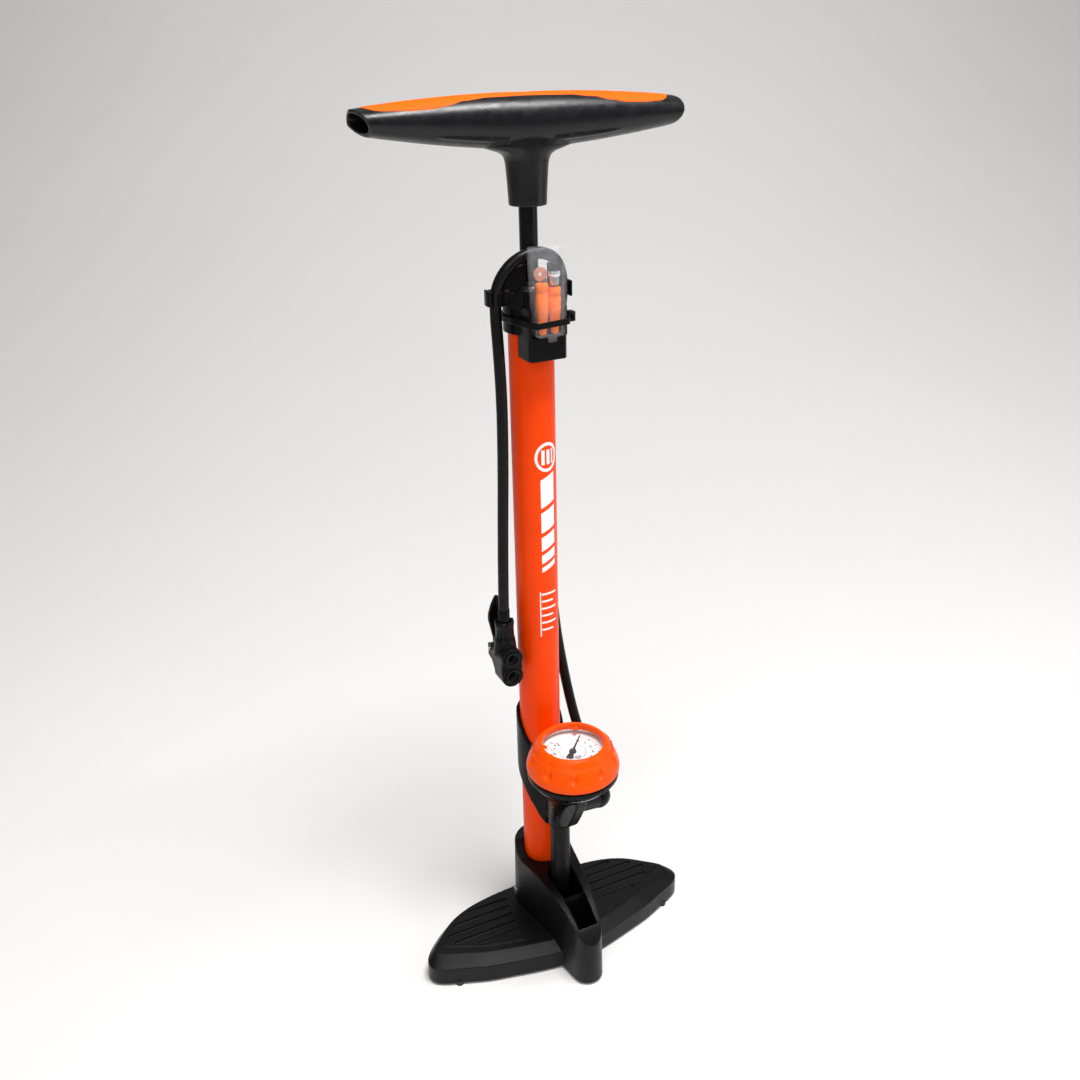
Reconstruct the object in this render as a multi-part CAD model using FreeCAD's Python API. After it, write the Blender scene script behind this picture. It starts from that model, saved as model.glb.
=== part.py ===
"""Floor bike pump: a foot with a barrel and a hose, a gauge, and a T-handle plunger.

Millimetres, +Z up. The origin is on the barrel's axis at the floor. The gauge and the
foot's nose point along -Y, the foot's two treads lie along X, and the handle rests turned
by HANDLE_TURN degrees from them.
"""
import FreeCAD
import Part
import math
import os
from FreeCAD import Vector

X_AXIS = Vector(1, 0, 0)
Y_AXIS = Vector(0, 1, 0)
Z_AXIS = Vector(0, 0, 1)

# Driving dimensions
BARREL_R = 16.0
BARREL_WALL = 1.2
BARREL_BOTTOM = 20.0
BARREL_TOP = 545.0
ROD_R = 6.2
RUNNING_GAP = 0.05
HOSE_R = 4.0
RISER_Y = -32.5
RISER_R = 8.0
GAUGE_Y = -56.0
BEZEL_R = 35.7
FOOT_HALF = 118.0
HANDLE_HALF = 112.0
HANDLE_TURN = -8.5
HANDLE_MID_Z = 654.0
STEM_BOTTOM = 603.0
INSERT_DEPTH = 2.2
HEAD_X = -30.5
HEAD_Y = -5.0
PORT_PITCH = 15.0

BARREL_INNER_R = BARREL_R - BARREL_WALL

# Foot
SOLE_Z = 2.0
EDGE_Z = 17.5
TREAD_Z = 22.5
TOWER_R = 24.5
NOSE_R = 11.5
NOSE_Y = -78.0
CHANNEL_HALF = 9.6
CHANNEL_FLOOR = 26.0

# Plunger
PISTON_BOTTOM = 66.0
PISTON_HEIGHT = 13.0
ROD_TOP = 655.0

# Top fittings
CAP_R = 19.0
CAP_SKIRT = 521.0
CAP_TOP = 553.0
CLIP_PLACE = {-1: (-28.0, -5.0), 1: (25.0, 1.0)}
ARM_Z = (541.0, 551.0)
BLOCK_HALF = 14.0
BLOCK_FRONT = -28.0
BLOCK_Z = (505.0, 521.0)
CASE_BACK = -20.0
CASE_FRONT = -34.0
CASE_Z = (522.0, 580.0)
CASE_HALF = (10.0, 11.8)
CASE_WALL = 1.0
TIE_Z = (529.5, 533.5)

# Gauge
BOWL_TOP = 188.0
FLANGE_TOP = BOWL_TOP + 3.6
BEZEL_BOTTOM = FLANGE_TOP + 0.4
BEZEL_TOP = BEZEL_BOTTOM + 24.4
WINDOW_R = 23.4
NECK_R = 30.4
CAN_R = 27.5
CAN_BOTTOM = BOWL_TOP - 8.0
CAN_TOP = BEZEL_TOP - 7.0
DIAL_Z = CAN_TOP - 3.0
STEM_SHOULDER = CAN_BOTTOM + 14.0
STEM_TOP = CAN_BOTTOM + 22.0
COLLAR_R = 19.0
COLLAR_SLIT = 1.5
EAR_Z = (200.0, 211.0)
EAR_OUTER = 6.5
KEEL_HALF = 4.6
NEEDLE_ANGLE = 47.0

SLEEVE_Z = (282.0, 304.0)

# Hose outlet
ELBOW = Vector(30.0, -40.0, 147.0)
OUTLET_DIR = Vector(0, 0.55, 0.835)
OUTLET_START = 16.0
FERRULE_LENGTH = 9.0

# The hose's route from the gauge outlet up behind the barrel, through the right clip,
# over in front of the rod, through the left clip and down to the pump head.
HOSE_ROUTE = [
    (30.0, -26.25, 167.88), (30.4, -17.5, 181.0), (28.6, -6.5, 198.0), (26.6, 1.5, 221.0),
    (24.8, 8.5, 246.0), (22.6, 13.0, 272.0), (20.4, 15.0, 302.0), (16.8, 18.6, 340.0),
    (15.2, 20.4, 385.0), (15.6, 20.2, 432.0), (17.8, 18.4, 470.0), (21.8, 14.0, 498.0),
    (24.5, 8.0, 518.0), (25.2, 2.2, 536.0), (24.6, -0.8, 554.0), (15.5, -8.0, 569.6),
    (-1.5, -12.6, 575.4), (-18.0, -12.0, 570.2), (-27.9, -7.6, 555.4), (-28.4, -4.8, 538.0),
    (-27.4, -5.9, 512.0), (-26.5, -6.6, 474.0), (-26.9, -5.6, 430.0), (-28.2, -4.6, 386.0),
    (-29.9, -5.1, 345.0), (HEAD_X, HEAD_Y, SLEEVE_Z[1] + 8.0),
]

# Pump head
PORT_TOP_Z = 276.5
PORT_FACE_Y = -18.0
PORT_R = 8.6
SCHRADER_R = 3.95
PRESTA_R = 3.1
PIVOT = Vector(HEAD_X, 5.0, 277.0)
PIN_R = 1.5


def cylinder(radius, start, length, direction=Z_AXIS):
    return Part.makeCylinder(radius, length, Vector(*start), direction)


def ring(outer, inner, start, length, direction=Z_AXIS):
    return cylinder(outer, start, length, direction).cut(
        cylinder(inner, start, length, direction))


def box(low, high):
    size = [h - l for l, h in zip(low, high)]
    return Part.makeBox(size[0], size[1], size[2], Vector(*low))


def fuse(shapes):
    return shapes[0].multiFuse(shapes[1:]).removeSplitter()


def mirror_x(shape):
    return shape.mirror(Vector(0, 0, 0), X_AXIS)


def closed_wire(edges):
    return Part.Wire(Part.__sortEdges__(edges))


def line(a, b):
    return Part.LineSegment(a, b).toShape()


def arc(a, mid, b):
    return Part.Arc(a, mid, b).toShape()


def polygon_solid(points, extrusion):
    """A prism on a closed outline of vectors."""
    return Part.Face(Part.makePolygon(points + [points[0]])).extrude(extrusion)


def revolve(points, axis_x=0.0, axis_y=0.0):
    """A ring turned about a vertical axis, from its (radius, height) outline."""
    outline = [Vector(axis_x + r, axis_y, z) for r, z in points]
    face = Part.Face(Part.makePolygon(outline + [outline[0]]))
    return face.revolve(Vector(axis_x, axis_y, 0), Z_AXIS, 360)


def oval_hull(r_back, y_back, r_front, y_front, z):
    """The outline round two circles on the Y axis, joined by their tangents."""
    lean = math.asin((r_back - r_front) / (y_back - y_front))
    side = Vector(math.cos(lean), -math.sin(lean), 0)
    back = Vector(0, y_back, z)
    front = Vector(0, y_front, z)
    right_back = back + side * r_back
    right_front = front + side * r_front
    left_back = Vector(-right_back.x, right_back.y, z)
    left_front = Vector(-right_front.x, right_front.y, z)
    return closed_wire([
        arc(left_back, back + Y_AXIS * r_back, right_back),
        line(right_back, right_front),
        arc(right_front, front - Y_AXIS * r_front, left_front),
        line(left_front, left_back)])


# ---------------------------------------------------------------- foot

def tread_outline(z, tip_inset, front_inset):
    """One closed outline through both treads, with insets for the bevelled top."""
    right = [(0, 21.0), (52.0, 18.0), (84.0, 9.0), (106.0, -6.5), (117.0, -21.0), (113.5, -33.0),
             (92.0, -42.8), (62.0, -52.8), (0, -64.0)]
    points = []
    for x, y in right:
        outwards = (x / FOOT_HALF) ** 2
        frontwards = min(1.0, max(0.0, (-10.0 - y) / 25.0))
        points.append(Vector(x - tip_inset * outwards, y + front_inset * frontwards, z))
    curve = Part.BSplineCurve()
    curve.interpolate(Points=points, InitialTangent=X_AXIS, FinalTangent=-X_AXIS)
    half = curve.toShape()
    return Part.Wire([half, mirror_x(half)])


def tread_plate():
    lower = Part.Face(tread_outline(SOLE_Z, 0, 0)).extrude(Vector(0, 0, EDGE_Z - SOLE_Z))
    bevel = Part.makeLoft(
        [tread_outline(EDGE_Z, 0, 0), tread_outline(TREAD_Z, 8.0, 10.5)], True, True)
    return lower.fuse(bevel)


def tower_top_profile():
    """The side view of the tower's top: high behind the barrel, falling to the nose."""
    points = [Vector(0, 9.0, 83.0), Vector(0, -4.0, 73.0), Vector(0, -30.0, 71.4),
              Vector(0, -58.0, 64.5), Vector(0, -80.0, 52.2), Vector(0, -92.0, 38.0)]
    top = Part.BSplineCurve()
    top.interpolate(points)
    back_top = Vector(0, 30.0, 83.0)
    back_low = Vector(0, 30.0, SOLE_Z)
    front_low = Vector(0, -92.0, SOLE_Z)
    wire = closed_wire([
        top.toShape(), line(points[0], back_top), line(back_top, back_low),
        line(back_low, front_low), line(front_low, points[-1])])
    face = Part.Face(wire)
    face.translate(Vector(-40, 0, 0))
    return face.extrude(Vector(80, 0, 0))


def tower():
    body = Part.makeLoft([
        oval_hull(TOWER_R + 0.8, 0, NOSE_R + 1.0, NOSE_Y, SOLE_Z),
        oval_hull(TOWER_R - 0.6, 0, NOSE_R - 0.4, NOSE_Y, 90.0)], True, True)
    return body.common(tower_top_profile())


def tower_channel():
    """The open slot between the nose's walls, with a stiffening rib across it."""
    slot = polygon_solid(
        [Vector(-CHANNEL_HALF - 1.0, RISER_Y, CHANNEL_FLOOR),
         Vector(CHANNEL_HALF + 1.0, RISER_Y, CHANNEL_FLOOR),
         Vector(CHANNEL_HALF - 1.6, -80.0, CHANNEL_FLOOR),
         Vector(-CHANNEL_HALF + 1.6, -80.0, CHANNEL_FLOOR)],
        Vector(0, 0, 70.0))
    seat = cylinder(CHANNEL_HALF + 1.0, (0, RISER_Y, CHANNEL_FLOOR), 70.0)
    rib = box((-20, -55.5, CHANNEL_FLOOR), (20, -52.5, 58.0))
    return slot.fuse(seat).cut(rib)


def tread_grooves():
    """Shallow grip grooves that run out along each tread."""
    grooves = []
    for row in range(5):
        y = 11.0 - 9.0 * row
        inner = 33.0 + 1.5 * row
        outer = [66.0, 84.0, 93.0, 88.0, 66.0][row]
        slot = box((inner, y - 1.3, TREAD_Z - 1.2), (outer, y + 1.3, TREAD_Z + 1.0))
        for x in (inner, outer):
            slot = slot.fuse(cylinder(1.3, (x, y, TREAD_Z - 1.2), 2.2))
        grooves += [slot, mirror_x(slot)]
    return grooves


def underside_pockets():
    """The hollows between the ribs under each tread."""
    pockets = []
    for low_x, high_x, low_y, high_y in (
            (33.0, 58.0, -47.0, 12.0), (61.0, 84.0, -42.0, 4.0), (87.0, 102.0, -32.0, -12.0)):
        pocket = box((low_x, low_y, SOLE_Z), (high_x, high_y, EDGE_Z - 3.0))
        pockets += [pocket, mirror_x(pocket)]
    return pockets


def foot():
    body = tread_plate().fuse(tower())
    cuts = [tower_channel(), manifold_outside(), riser_outside()]
    cuts.append(cylinder(BARREL_R, (0, 0, BARREL_BOTTOM), 100.0))
    cuts += tread_grooves() + underside_pockets() + sole_pad_list()
    cuts += [foot_screw_outside(-1), foot_screw_outside(1)]
    return body.cut(Part.makeCompound(cuts)).removeSplitter()


def foot_screw_outside(side):
    direction = Vector(-side, 0, 0)
    head = cylinder(3.2, (side * 25.4, 6.0, 31.0), 2.6, direction)
    shank = cylinder(1.7, (side * 22.9, 6.0, 31.0), 6.4, direction)
    return head.fuse(shank).removeSplitter()


def foot_screw_list():
    """Two cross screws hold the barrel in the tower."""
    screws = []
    for side in (-1, 1):
        socket = cylinder(1.5, (side * 25.5, 6.0, 31.0), 1.4, Vector(-side, 0, 0))
        screws.append(foot_screw_outside(side).cut(socket))
    return screws


def sole_pad_list():
    """Rubber pads under the barrel, the nose and both treads."""
    places = [(0, 0, 8.0), (0, -78.0, 6.0), (104.5, -24.0, 5.5), (-104.5, -24.0, 5.5),
              (97.0, -38.6, 3.2), (-97.0, -38.6, 3.2), (59.5, 14.5, 3.2), (-59.5, 14.5, 3.2)]
    return [cylinder(r, (x, y, 0), SOLE_Z + 2.0) for x, y, r in places]


# ---------------------------------------------------------------- air path in the foot

def manifold_outside():
    under_barrel = cylinder(18.5, (0, 0, 8.0), BARREL_BOTTOM - 8.0)
    duct = box((-7.0, RISER_Y, 8.0), (7.0, 0, BARREL_BOTTOM))
    under_riser = cylinder(11.0, (0, RISER_Y, 8.0), 22.0)
    return fuse([under_barrel, duct, under_riser])


def manifold():
    """The cast block that carries air from the barrel to the riser."""
    air = [cylinder(2.5, (0, 0, 12.0), 20.0),
           cylinder(2.5, (0, 0, 14.0), -RISER_Y, Vector(0, -1, 0)),
           cylinder(2.5, (0, RISER_Y, 12.0), 20.0),
           cylinder(RISER_R, (0, RISER_Y, 24.0), 20.0)]
    return manifold_outside().cut(Part.makeCompound(air))


def riser_outside():
    return cylinder(RISER_R, (0, RISER_Y, 24.0), 116.0)


def riser():
    return riser_outside().cut(cylinder(2.5, (0, RISER_Y, 20.0), 130.0))


def base_plug():
    """Closes the barrel and holds the check valve."""
    plug = cylinder(BARREL_INNER_R, (0, 0, BARREL_BOTTOM), 18.0)
    o_ring_groove = ring(BARREL_INNER_R + 1.0, BARREL_INNER_R - 1.6,
                         (0, 0, 34.6), 2.4)
    chamber = cylinder(3.4, (0, 0, BARREL_BOTTOM), 12.0)
    throat = cylinder(1.8, (0, 0, BARREL_BOTTOM), 30.0)
    return plug.cut(Part.makeCompound([o_ring_groove, chamber, throat]))


def base_o_ring():
    return ring(BARREL_INNER_R, BARREL_INNER_R - 1.6, (0, 0, 34.6), 2.4)


def check_ball():
    return Part.makeSphere(3.0, Vector(0, 0, 28.4))


def check_spring():
    """A short coil under the ball, squashed as the valve opens."""
    coil_r = 2.2
    wire_r = 0.32
    helix = Part.makeHelix(1.3, 3.6, coil_r)
    profile = Part.Wire(Part.makeCircle(wire_r, Vector(coil_r, 0, 0), Y_AXIS))
    coil = Part.Wire(helix).makePipeShell([profile], True, True)
    coil.translate(Vector(0, 0, BARREL_BOTTOM + 0.6))
    return coil


# ---------------------------------------------------------------- barrel and plunger

def barrel():
    return ring(BARREL_R, BARREL_INNER_R, (0, 0, BARREL_BOTTOM), BARREL_TOP - BARREL_BOTTOM)


def piston():
    top = PISTON_BOTTOM + PISTON_HEIGHT
    body = cylinder(14.2, (0, 0, PISTON_BOTTOM), PISTON_HEIGHT)
    groove = ring(16.0, 12.4, (0, 0, PISTON_BOTTOM + 5.0), 3.2)
    bore = cylinder(3.0 + RUNNING_GAP, (0, 0, PISTON_BOTTOM - 1), PISTON_HEIGHT + 2)
    air_slots = [box((8.0, -1.2, top - 3.0), (16.0, 1.2, top + 1.0)),
                 box((-16.0, -1.2, top - 3.0), (-8.0, 1.2, top + 1.0))]
    return body.cut(Part.makeCompound([groove, bore] + air_slots))


def piston_o_ring():
    return ring(BARREL_INNER_R - RUNNING_GAP, 12.4, (0, 0, PISTON_BOTTOM + 5.0), 3.2)


def piston_rod():
    """A steel rod, turned down where it passes through the piston."""
    shoulder = PISTON_BOTTOM + PISTON_HEIGHT + 0.3
    shaft = cylinder(ROD_R, (0, 0, shoulder), ROD_TOP - shoulder)
    spigot = cylinder(3.0, (0, 0, PISTON_BOTTOM - 5.0), shoulder - PISTON_BOTTOM + 5.0)
    tapped_end = cylinder(2.0, (0, 0, ROD_TOP - 18.0), 18.0)
    return shaft.fuse(spigot).cut(tapped_end).removeSplitter()


def rod_nut():
    corners = [Vector(5.5 * math.cos(math.radians(a)), 5.5 * math.sin(math.radians(a)),
                      PISTON_BOTTOM - 4.6) for a in range(0, 360, 60)]
    return polygon_solid(corners, Vector(0, 0, 4.2)).cut(
        cylinder(3.0, (0, 0, PISTON_BOTTOM - 6.0), 10.0))


def rod_bumper():
    """A rubber ring above the piston that softens the top of the stroke."""
    return ring(10.5, ROD_R, (0, 0, PISTON_BOTTOM + PISTON_HEIGHT + 0.6), 7.0)


# ---------------------------------------------------------------- handle

def handle_section(x, inset):
    """An oval across the handle. It thins and rises towards the tips."""
    t = abs(x) / HANDLE_HALF
    half_height = 17.0 - 9.6 * t ** 1.7 - inset
    half_depth = 17.0 - 4.5 * t ** 2 - inset
    middle = HANDLE_MID_Z + 3.6 * t
    centre = Vector(x, 0, middle)
    if half_depth > half_height:
        tall_first = Part.Ellipse(centre + Y_AXIS * half_depth,
                                  centre + Z_AXIS * half_height, centre)
    else:
        tall_first = Part.Ellipse(centre + Z_AXIS * half_height,
                                  centre + Y_AXIS * half_depth, centre)
    return Part.Wire(tall_first.toShape())


def handle_blank(inset):
    stations = [-1.0, -0.8, -0.5, -0.2, 0.2, 0.5, 0.8, 1.0]
    half = HANDLE_HALF - inset
    return Part.makeLoft([handle_section(half * s, inset) for s in stations], True, False)


def insert_region():
    """Everything above the wavy seam between the hard handle and its soft insert."""
    seam = [(-105.0, 663.6), (-84.0, 663.2), (-64.0, 664.2), (-42.0, 668.0), (0, 669.6),
            (42.0, 668.0), (64.0, 664.2), (84.0, 663.2), (105.0, 663.6)]
    curve = Part.BSplineCurve()
    curve.interpolate([Vector(x, -30.0, z) for x, z in seam])
    start = Vector(seam[0][0], -30.0, seam[0][1])
    end = Vector(seam[-1][0], -30.0, seam[-1][1])
    lift = Vector(0, 0, 40.0)
    wire = closed_wire([curve.toShape(), line(start, start + lift),
                        line(start + lift, end + lift), line(end + lift, end)])
    return Part.Face(wire).extrude(Vector(0, 60.0, 0))


def turned(shape):
    """The handle comes to rest a little turned against the foot."""
    shape.rotate(Vector(0, 0, 0), Z_AXIS, HANDLE_TURN)
    return shape


def soft_skin():
    return handle_blank(0).cut(handle_blank(INSERT_DEPTH)).common(insert_region())


def handle_insert():
    return turned(soft_skin())


def handle():
    stem = Part.makeCone(12.6, 14.6, 40.0, Vector(0, 0, STEM_BOTTOM))
    body = handle_blank(0).fuse(stem).cut(soft_skin())
    rod_bore = cylinder(ROD_R, (0, 0, STEM_BOTTOM - 1.0), ROD_TOP - STEM_BOTTOM + 1.0)
    screw_bore = cylinder(2.0, (0, 0, ROD_TOP), 30.0)
    head_bore = cylinder(4.2, (0, 0, 665.0), 10.0)
    tip_hollows = [Part.makeCone(5.0, 3.4, 26.0, Vector(side * HANDLE_HALF, 0, 657.4),
                                 Vector(-side, 0, 0)) for side in (-1, 1)]
    return turned(body.cut(Part.makeCompound([rod_bore, screw_bore, head_bore] + tip_hollows)))


def handle_screw():
    """Runs down through the handle into the rod's tapped end, under the soft insert."""
    shank = cylinder(2.0, (0, 0, ROD_TOP - 16.0), 26.0)
    head = cylinder(4.0, (0, 0, 665.0), 2.2)
    return shank.fuse(head).removeSplitter()


# ---------------------------------------------------------------- top of the barrel

def barrel_cap():
    """The screw-on cap that closes the barrel round the rod's bush."""
    outside = revolve([(0, CAP_SKIRT), (CAP_R, CAP_SKIRT), (CAP_R, CAP_TOP - 3.0),
                       (CAP_R - 3.0, CAP_TOP), (0, CAP_TOP)])
    barrel_seat = cylinder(BARREL_R, (0, 0, CAP_SKIRT - 1.0), BARREL_TOP - CAP_SKIRT + 1.0)
    bush_seat = cylinder(8.6, (0, 0, BARREL_TOP - 5.0), 30.0)
    return outside.cut(Part.makeCompound([barrel_seat, bush_seat]))


def rod_bush():
    return revolve([(ROD_R + RUNNING_GAP, BARREL_TOP - 4.0), (8.6, BARREL_TOP - 4.0),
                    (8.6, CAP_TOP), (9.8, CAP_TOP), (9.8, CAP_TOP + 1.4),
                    (ROD_R + RUNNING_GAP, CAP_TOP + 1.4)])


def hose_clip(side):
    """An open C that grips the hose, with its mouth towards the front and outside."""
    centre = (CLIP_PLACE[side][0], CLIP_PLACE[side][1], ARM_Z[0])
    height = ARM_Z[1] - ARM_Z[0]
    shell = ring(HOSE_R + 2.6, HOSE_R + 0.35, centre, height)
    mouth_corners = [Vector(centre[0], centre[1], ARM_Z[0] - 1.0),
                     Vector(centre[0] + side * 1.5, centre[1] - 12.0, ARM_Z[0] - 1.0),
                     Vector(centre[0] + side * 9.0, centre[1] - 9.0, ARM_Z[0] - 1.0)]
    mouth = polygon_solid(mouth_corners, Vector(0, 0, height + 2.0))
    return shell.cut(mouth)


def hose_bracket():
    """A moulded ring on the cap: an arm and a clip for the hose on each side, and in
    front a tray for the case of nozzles."""
    arm_height = ARM_Z[1] - ARM_Z[0]
    collar = ring(CAP_R + 2.4, CAP_R, (0, 0, ARM_Z[0] - 2.0), arm_height)
    pieces = [collar]
    hose_paths = []
    for side in (-1, 1):
        clip_x, clip_y = CLIP_PLACE[side]
        root, end = side * 15.0, clip_x - side * 3.0
        arm = box((min(root, end), clip_y - 5.5, ARM_Z[0]), (max(root, end), clip_y + 5.5, ARM_Z[1]))
        pieces += [arm, hose_clip(side)]
        hose_paths.append(cylinder(HOSE_R + 0.35, (clip_x, clip_y, ARM_Z[0] - 1.0),
                                   arm_height + 2.0))
    tray = box((-BLOCK_HALF, BLOCK_FRONT, BLOCK_Z[0]), (BLOCK_HALF, -5.0, BLOCK_Z[1]))
    tray = tray.makeChamfer(2.0, [e for e in tray.Edges if e.CenterOfMass.y < -27.9
                                  and abs(e.CenterOfMass.z - 513.0) < 1.0])
    back_plate = box((-13.0, CASE_BACK + 0.1, BLOCK_Z[1]), (13.0, -5.0, 549.0))
    pieces += [tray, back_plate]
    for side in (-1, 1):
        cheek_inner = side * (CASE_HALF[1] + 0.4)
        cheek_outer = side * BLOCK_HALF
        pieces.append(box((min(cheek_inner, cheek_outer), BLOCK_FRONT + 0.5, BLOCK_Z[1]),
                          (max(cheek_inner, cheek_outer), -5.0, ARM_Z[0])))
    body = fuse(pieces)
    case_seat = box((-CASE_HALF[1] - 0.2, CASE_FRONT, BLOCK_Z[1]),
                    (CASE_HALF[1] + 0.2, CASE_BACK, CASE_Z[1]))
    cuts = [cylinder(BARREL_R, (0, 0, 490.0), 100.0),
            cylinder(CAP_R, (0, 0, CAP_SKIRT), 60.0), case_seat, tie_loop()] + hose_paths
    return body.cut(Part.makeCompound(cuts)).removeSplitter()


def tie_outline(offset, z):
    """Round the back of the cap, past the tray's cheeks and over the case's front."""
    r = CAP_R + 0.2 + offset
    hip = Vector(BLOCK_HALF + 0.2 + offset, BLOCK_FRONT - 0.2, z)
    front = Vector(CASE_HALF[0] + 0.7 + offset * 0.5, CASE_FRONT - 0.35 - offset, z)
    side = Vector(r, -2.0, z)
    left = [Vector(-p.x, p.y, z) for p in (side, hip, front)]
    return closed_wire([
        arc(left[0], Vector(0, math.hypot(r, 2.0), z), side), line(side, hip),
        line(hip, front), line(front, left[2]), line(left[2], left[1]),
        line(left[1], left[0])])


def tie_loop():
    """The strap's band, with its inner face on what it holds."""
    rise = Vector(0, 0, TIE_Z[1] - TIE_Z[0])
    outer, inner = [Part.Face(tie_outline(offset, TIE_Z[0])).extrude(rise)
                    for offset in (1.3, 0)]
    return outer.cut(inner)


def cable_tie():
    """A nylon strap round the case, the tray and the cap, with its locking head."""
    head = box((BLOCK_HALF + 2.2, -25.5, TIE_Z[0] - 1.2), (BLOCK_HALF + 7.0, -19.5, TIE_Z[1] + 1.2))
    tail = box((BLOCK_HALF + 4.2, -28.5, TIE_Z[0] + 0.2), (BLOCK_HALF + 5.4, -25.0, TIE_Z[1] - 0.2))
    return fuse([tie_loop(), head, tail])


# ---------------------------------------------------------------- case of nozzles

def case_blank(inset, back, front):
    """The case's outline, a little wider at its top than at its bottom."""
    low = CASE_Z[0] + inset
    high = CASE_Z[1] - inset
    corners = [Vector(-CASE_HALF[0] + inset, back, low), Vector(CASE_HALF[0] - inset, back, low),
               Vector(CASE_HALF[1] - inset, back, high),
               Vector(-CASE_HALF[1] + inset, back, high)]
    return polygon_solid(corners, Vector(0, front - back, 0))


def case_tub():
    split = CASE_BACK - 8.5
    shell = case_blank(0, CASE_BACK - 0.1, split)
    return shell.cut(case_blank(CASE_WALL, CASE_BACK - 0.1 - CASE_WALL, split - 1.0))


def case_lid():
    split = CASE_BACK - 8.6
    shell = case_blank(0, split, CASE_FRONT)
    shell = shell.cut(case_blank(CASE_WALL, split + 1.0, CASE_FRONT + CASE_WALL))
    latch = box((-3.2, CASE_FRONT, CASE_Z[0] - 3.2), (3.2, CASE_FRONT + 1.4, CASE_Z[0] + 1.0))
    return shell.fuse(latch).removeSplitter()


def nozzle(x, bottom, length):
    """A tapered plastic nozzle with a straight body and an air hole down it."""
    y = CASE_BACK - 7.2
    waist = bottom + length * 0.45
    outside = revolve([(0, bottom), (2.4, bottom), (4.2, waist), (4.2, bottom + length),
                       (0, bottom + length)], x, y)
    return outside.cut(cylinder(1.2, (x, y, bottom - 1.0), length + 2.0))


def ball_needle():
    """The inflating needle for balls: a knurled base and a thin tube."""
    x = 4.6
    y = CASE_BACK - 7.2
    bottom = 555.5
    base = revolve([(0, bottom), (3.2, bottom), (3.2, bottom + 5.5), (4.0, bottom + 5.5),
                    (4.0, bottom + 9.0), (0, bottom + 9.0)], x, y)
    return base.cut(cylinder(0.7, (x, y, bottom - 1.0), 12.0))


def spare_washer():
    return ring(4.6, 1.4, (-3.0, CASE_BACK - 3.0, 562.0), 1.4, Y_AXIS)


# ---------------------------------------------------------------- gauge

def collar_region():
    """The side view of the clamp round the barrel, high at its back."""
    points = [Vector(-40, 21.0, 228.0), Vector(-40, 2.0, 221.0), Vector(-40, -7.0, 197.0),
              Vector(-40, -12.0, 190.0), Vector(-40, -21.0, 187.0), Vector(-40, -21.0, 104.0),
              Vector(-40, -16.0, 117.0), Vector(-40, -12.0, 136.0), Vector(-40, 0, 155.0),
              Vector(-40, 21.0, 178.0)]
    return polygon_solid(points, Vector(80, 0, 0))


def gauge_bowl():
    """An oblique funnel from the riser's top out to the gauge's rim."""
    rings = [(RISER_Y, 9.4, 124.0), (-35.0, 10.2, 140.0), (-42.5, 14.5, 158.0),
             (-51.5, 25.0, 174.0), (GAUGE_Y, 32.5, BOWL_TOP)]
    wires = [Part.Wire(Part.makeCircle(r, Vector(0, y, z))) for y, r, z in rings]
    return Part.makeLoft(wires, True, False)


def bowl_keel():
    """The upright rib that carries the bowl's front on the riser's socket."""
    side_view = [(-34.0, 123.0), (-45.0, 127.0), (-57.5, 140.6), (-68.0, 160.0), (-72.0, 178.0),
                 (-34.0, 178.0)]
    return polygon_solid([Vector(-KEEL_HALF, y, z) for y, z in side_view],
                         Vector(2 * KEEL_HALF, 0, 0))


def gauge_housing():
    """The bowl that holds the gauge, in one piece with its clamp round the barrel."""
    collar = cylinder(COLLAR_R, (0, 0, 90.0), 150.0).common(collar_region())
    flange = cylinder(BEZEL_R - 0.7, (0, GAUGE_Y, BOWL_TOP), FLANGE_TOP - BOWL_TOP)
    neck = cylinder(NECK_R, (0, GAUGE_Y, FLANGE_TOP), 12.0)
    web = box((-6.0, RISER_Y, 122.0), (6.0, -14.0, BOWL_TOP))
    boss_start = Vector(0, -50.0, 152.0)
    boss = cylinder(8.4, boss_start, 27.0, ELBOW - boss_start)
    body = fuse([gauge_bowl(), bowl_keel(), flange, neck, web, boss, collar, ear(-1), ear(1)])
    air_start = Vector(0, RISER_Y, 145.0)
    air_run = Vector(0, GAUGE_Y, CAN_BOTTOM - 4.0) - air_start
    cuts = [cylinder(BARREL_R, (0, 0, 80.0), 170.0), riser_outside(),
            box((-COLLAR_SLIT, 0, 90.0), (COLLAR_SLIT, 40.0, 240.0)),
            cylinder(2.5, (0, RISER_Y, 130.0), 18.0),
            cylinder(2.0, air_start, air_run.Length, air_run),
            cylinder(CAN_R, (0, GAUGE_Y, CAN_BOTTOM - 4.0), 40.0),
            outlet_outside(), clamp_screw_outside()]
    return body.cut(Part.makeCompound(cuts)).removeSplitter()


def ear(side):
    """A screw lug beside the slit in the clamp's back."""
    inner, outer = side * COLLAR_SLIT, side * EAR_OUTER
    return box((min(inner, outer), BARREL_R + 1.0, EAR_Z[0]), (max(inner, outer), 24.8, EAR_Z[1]))


def clamp_screw_outside():
    """The screw that draws the clamp's two lugs together."""
    place = (-EAR_OUTER, COLLAR_R + 2.2, (EAR_Z[0] + EAR_Z[1]) / 2)
    shank = cylinder(1.5, place, 2 * EAR_OUTER, X_AXIS)
    head = cylinder(2.8, (EAR_OUTER, place[1], place[2]), 2.0, X_AXIS)
    return shank.fuse(head).removeSplitter()


def clamp_screw():
    drive = cylinder(1.2, (EAR_OUTER + 1.0, COLLAR_R + 2.2, (EAR_Z[0] + EAR_Z[1]) / 2), 2.0, X_AXIS)
    return clamp_screw_outside().cut(drive)


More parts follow.
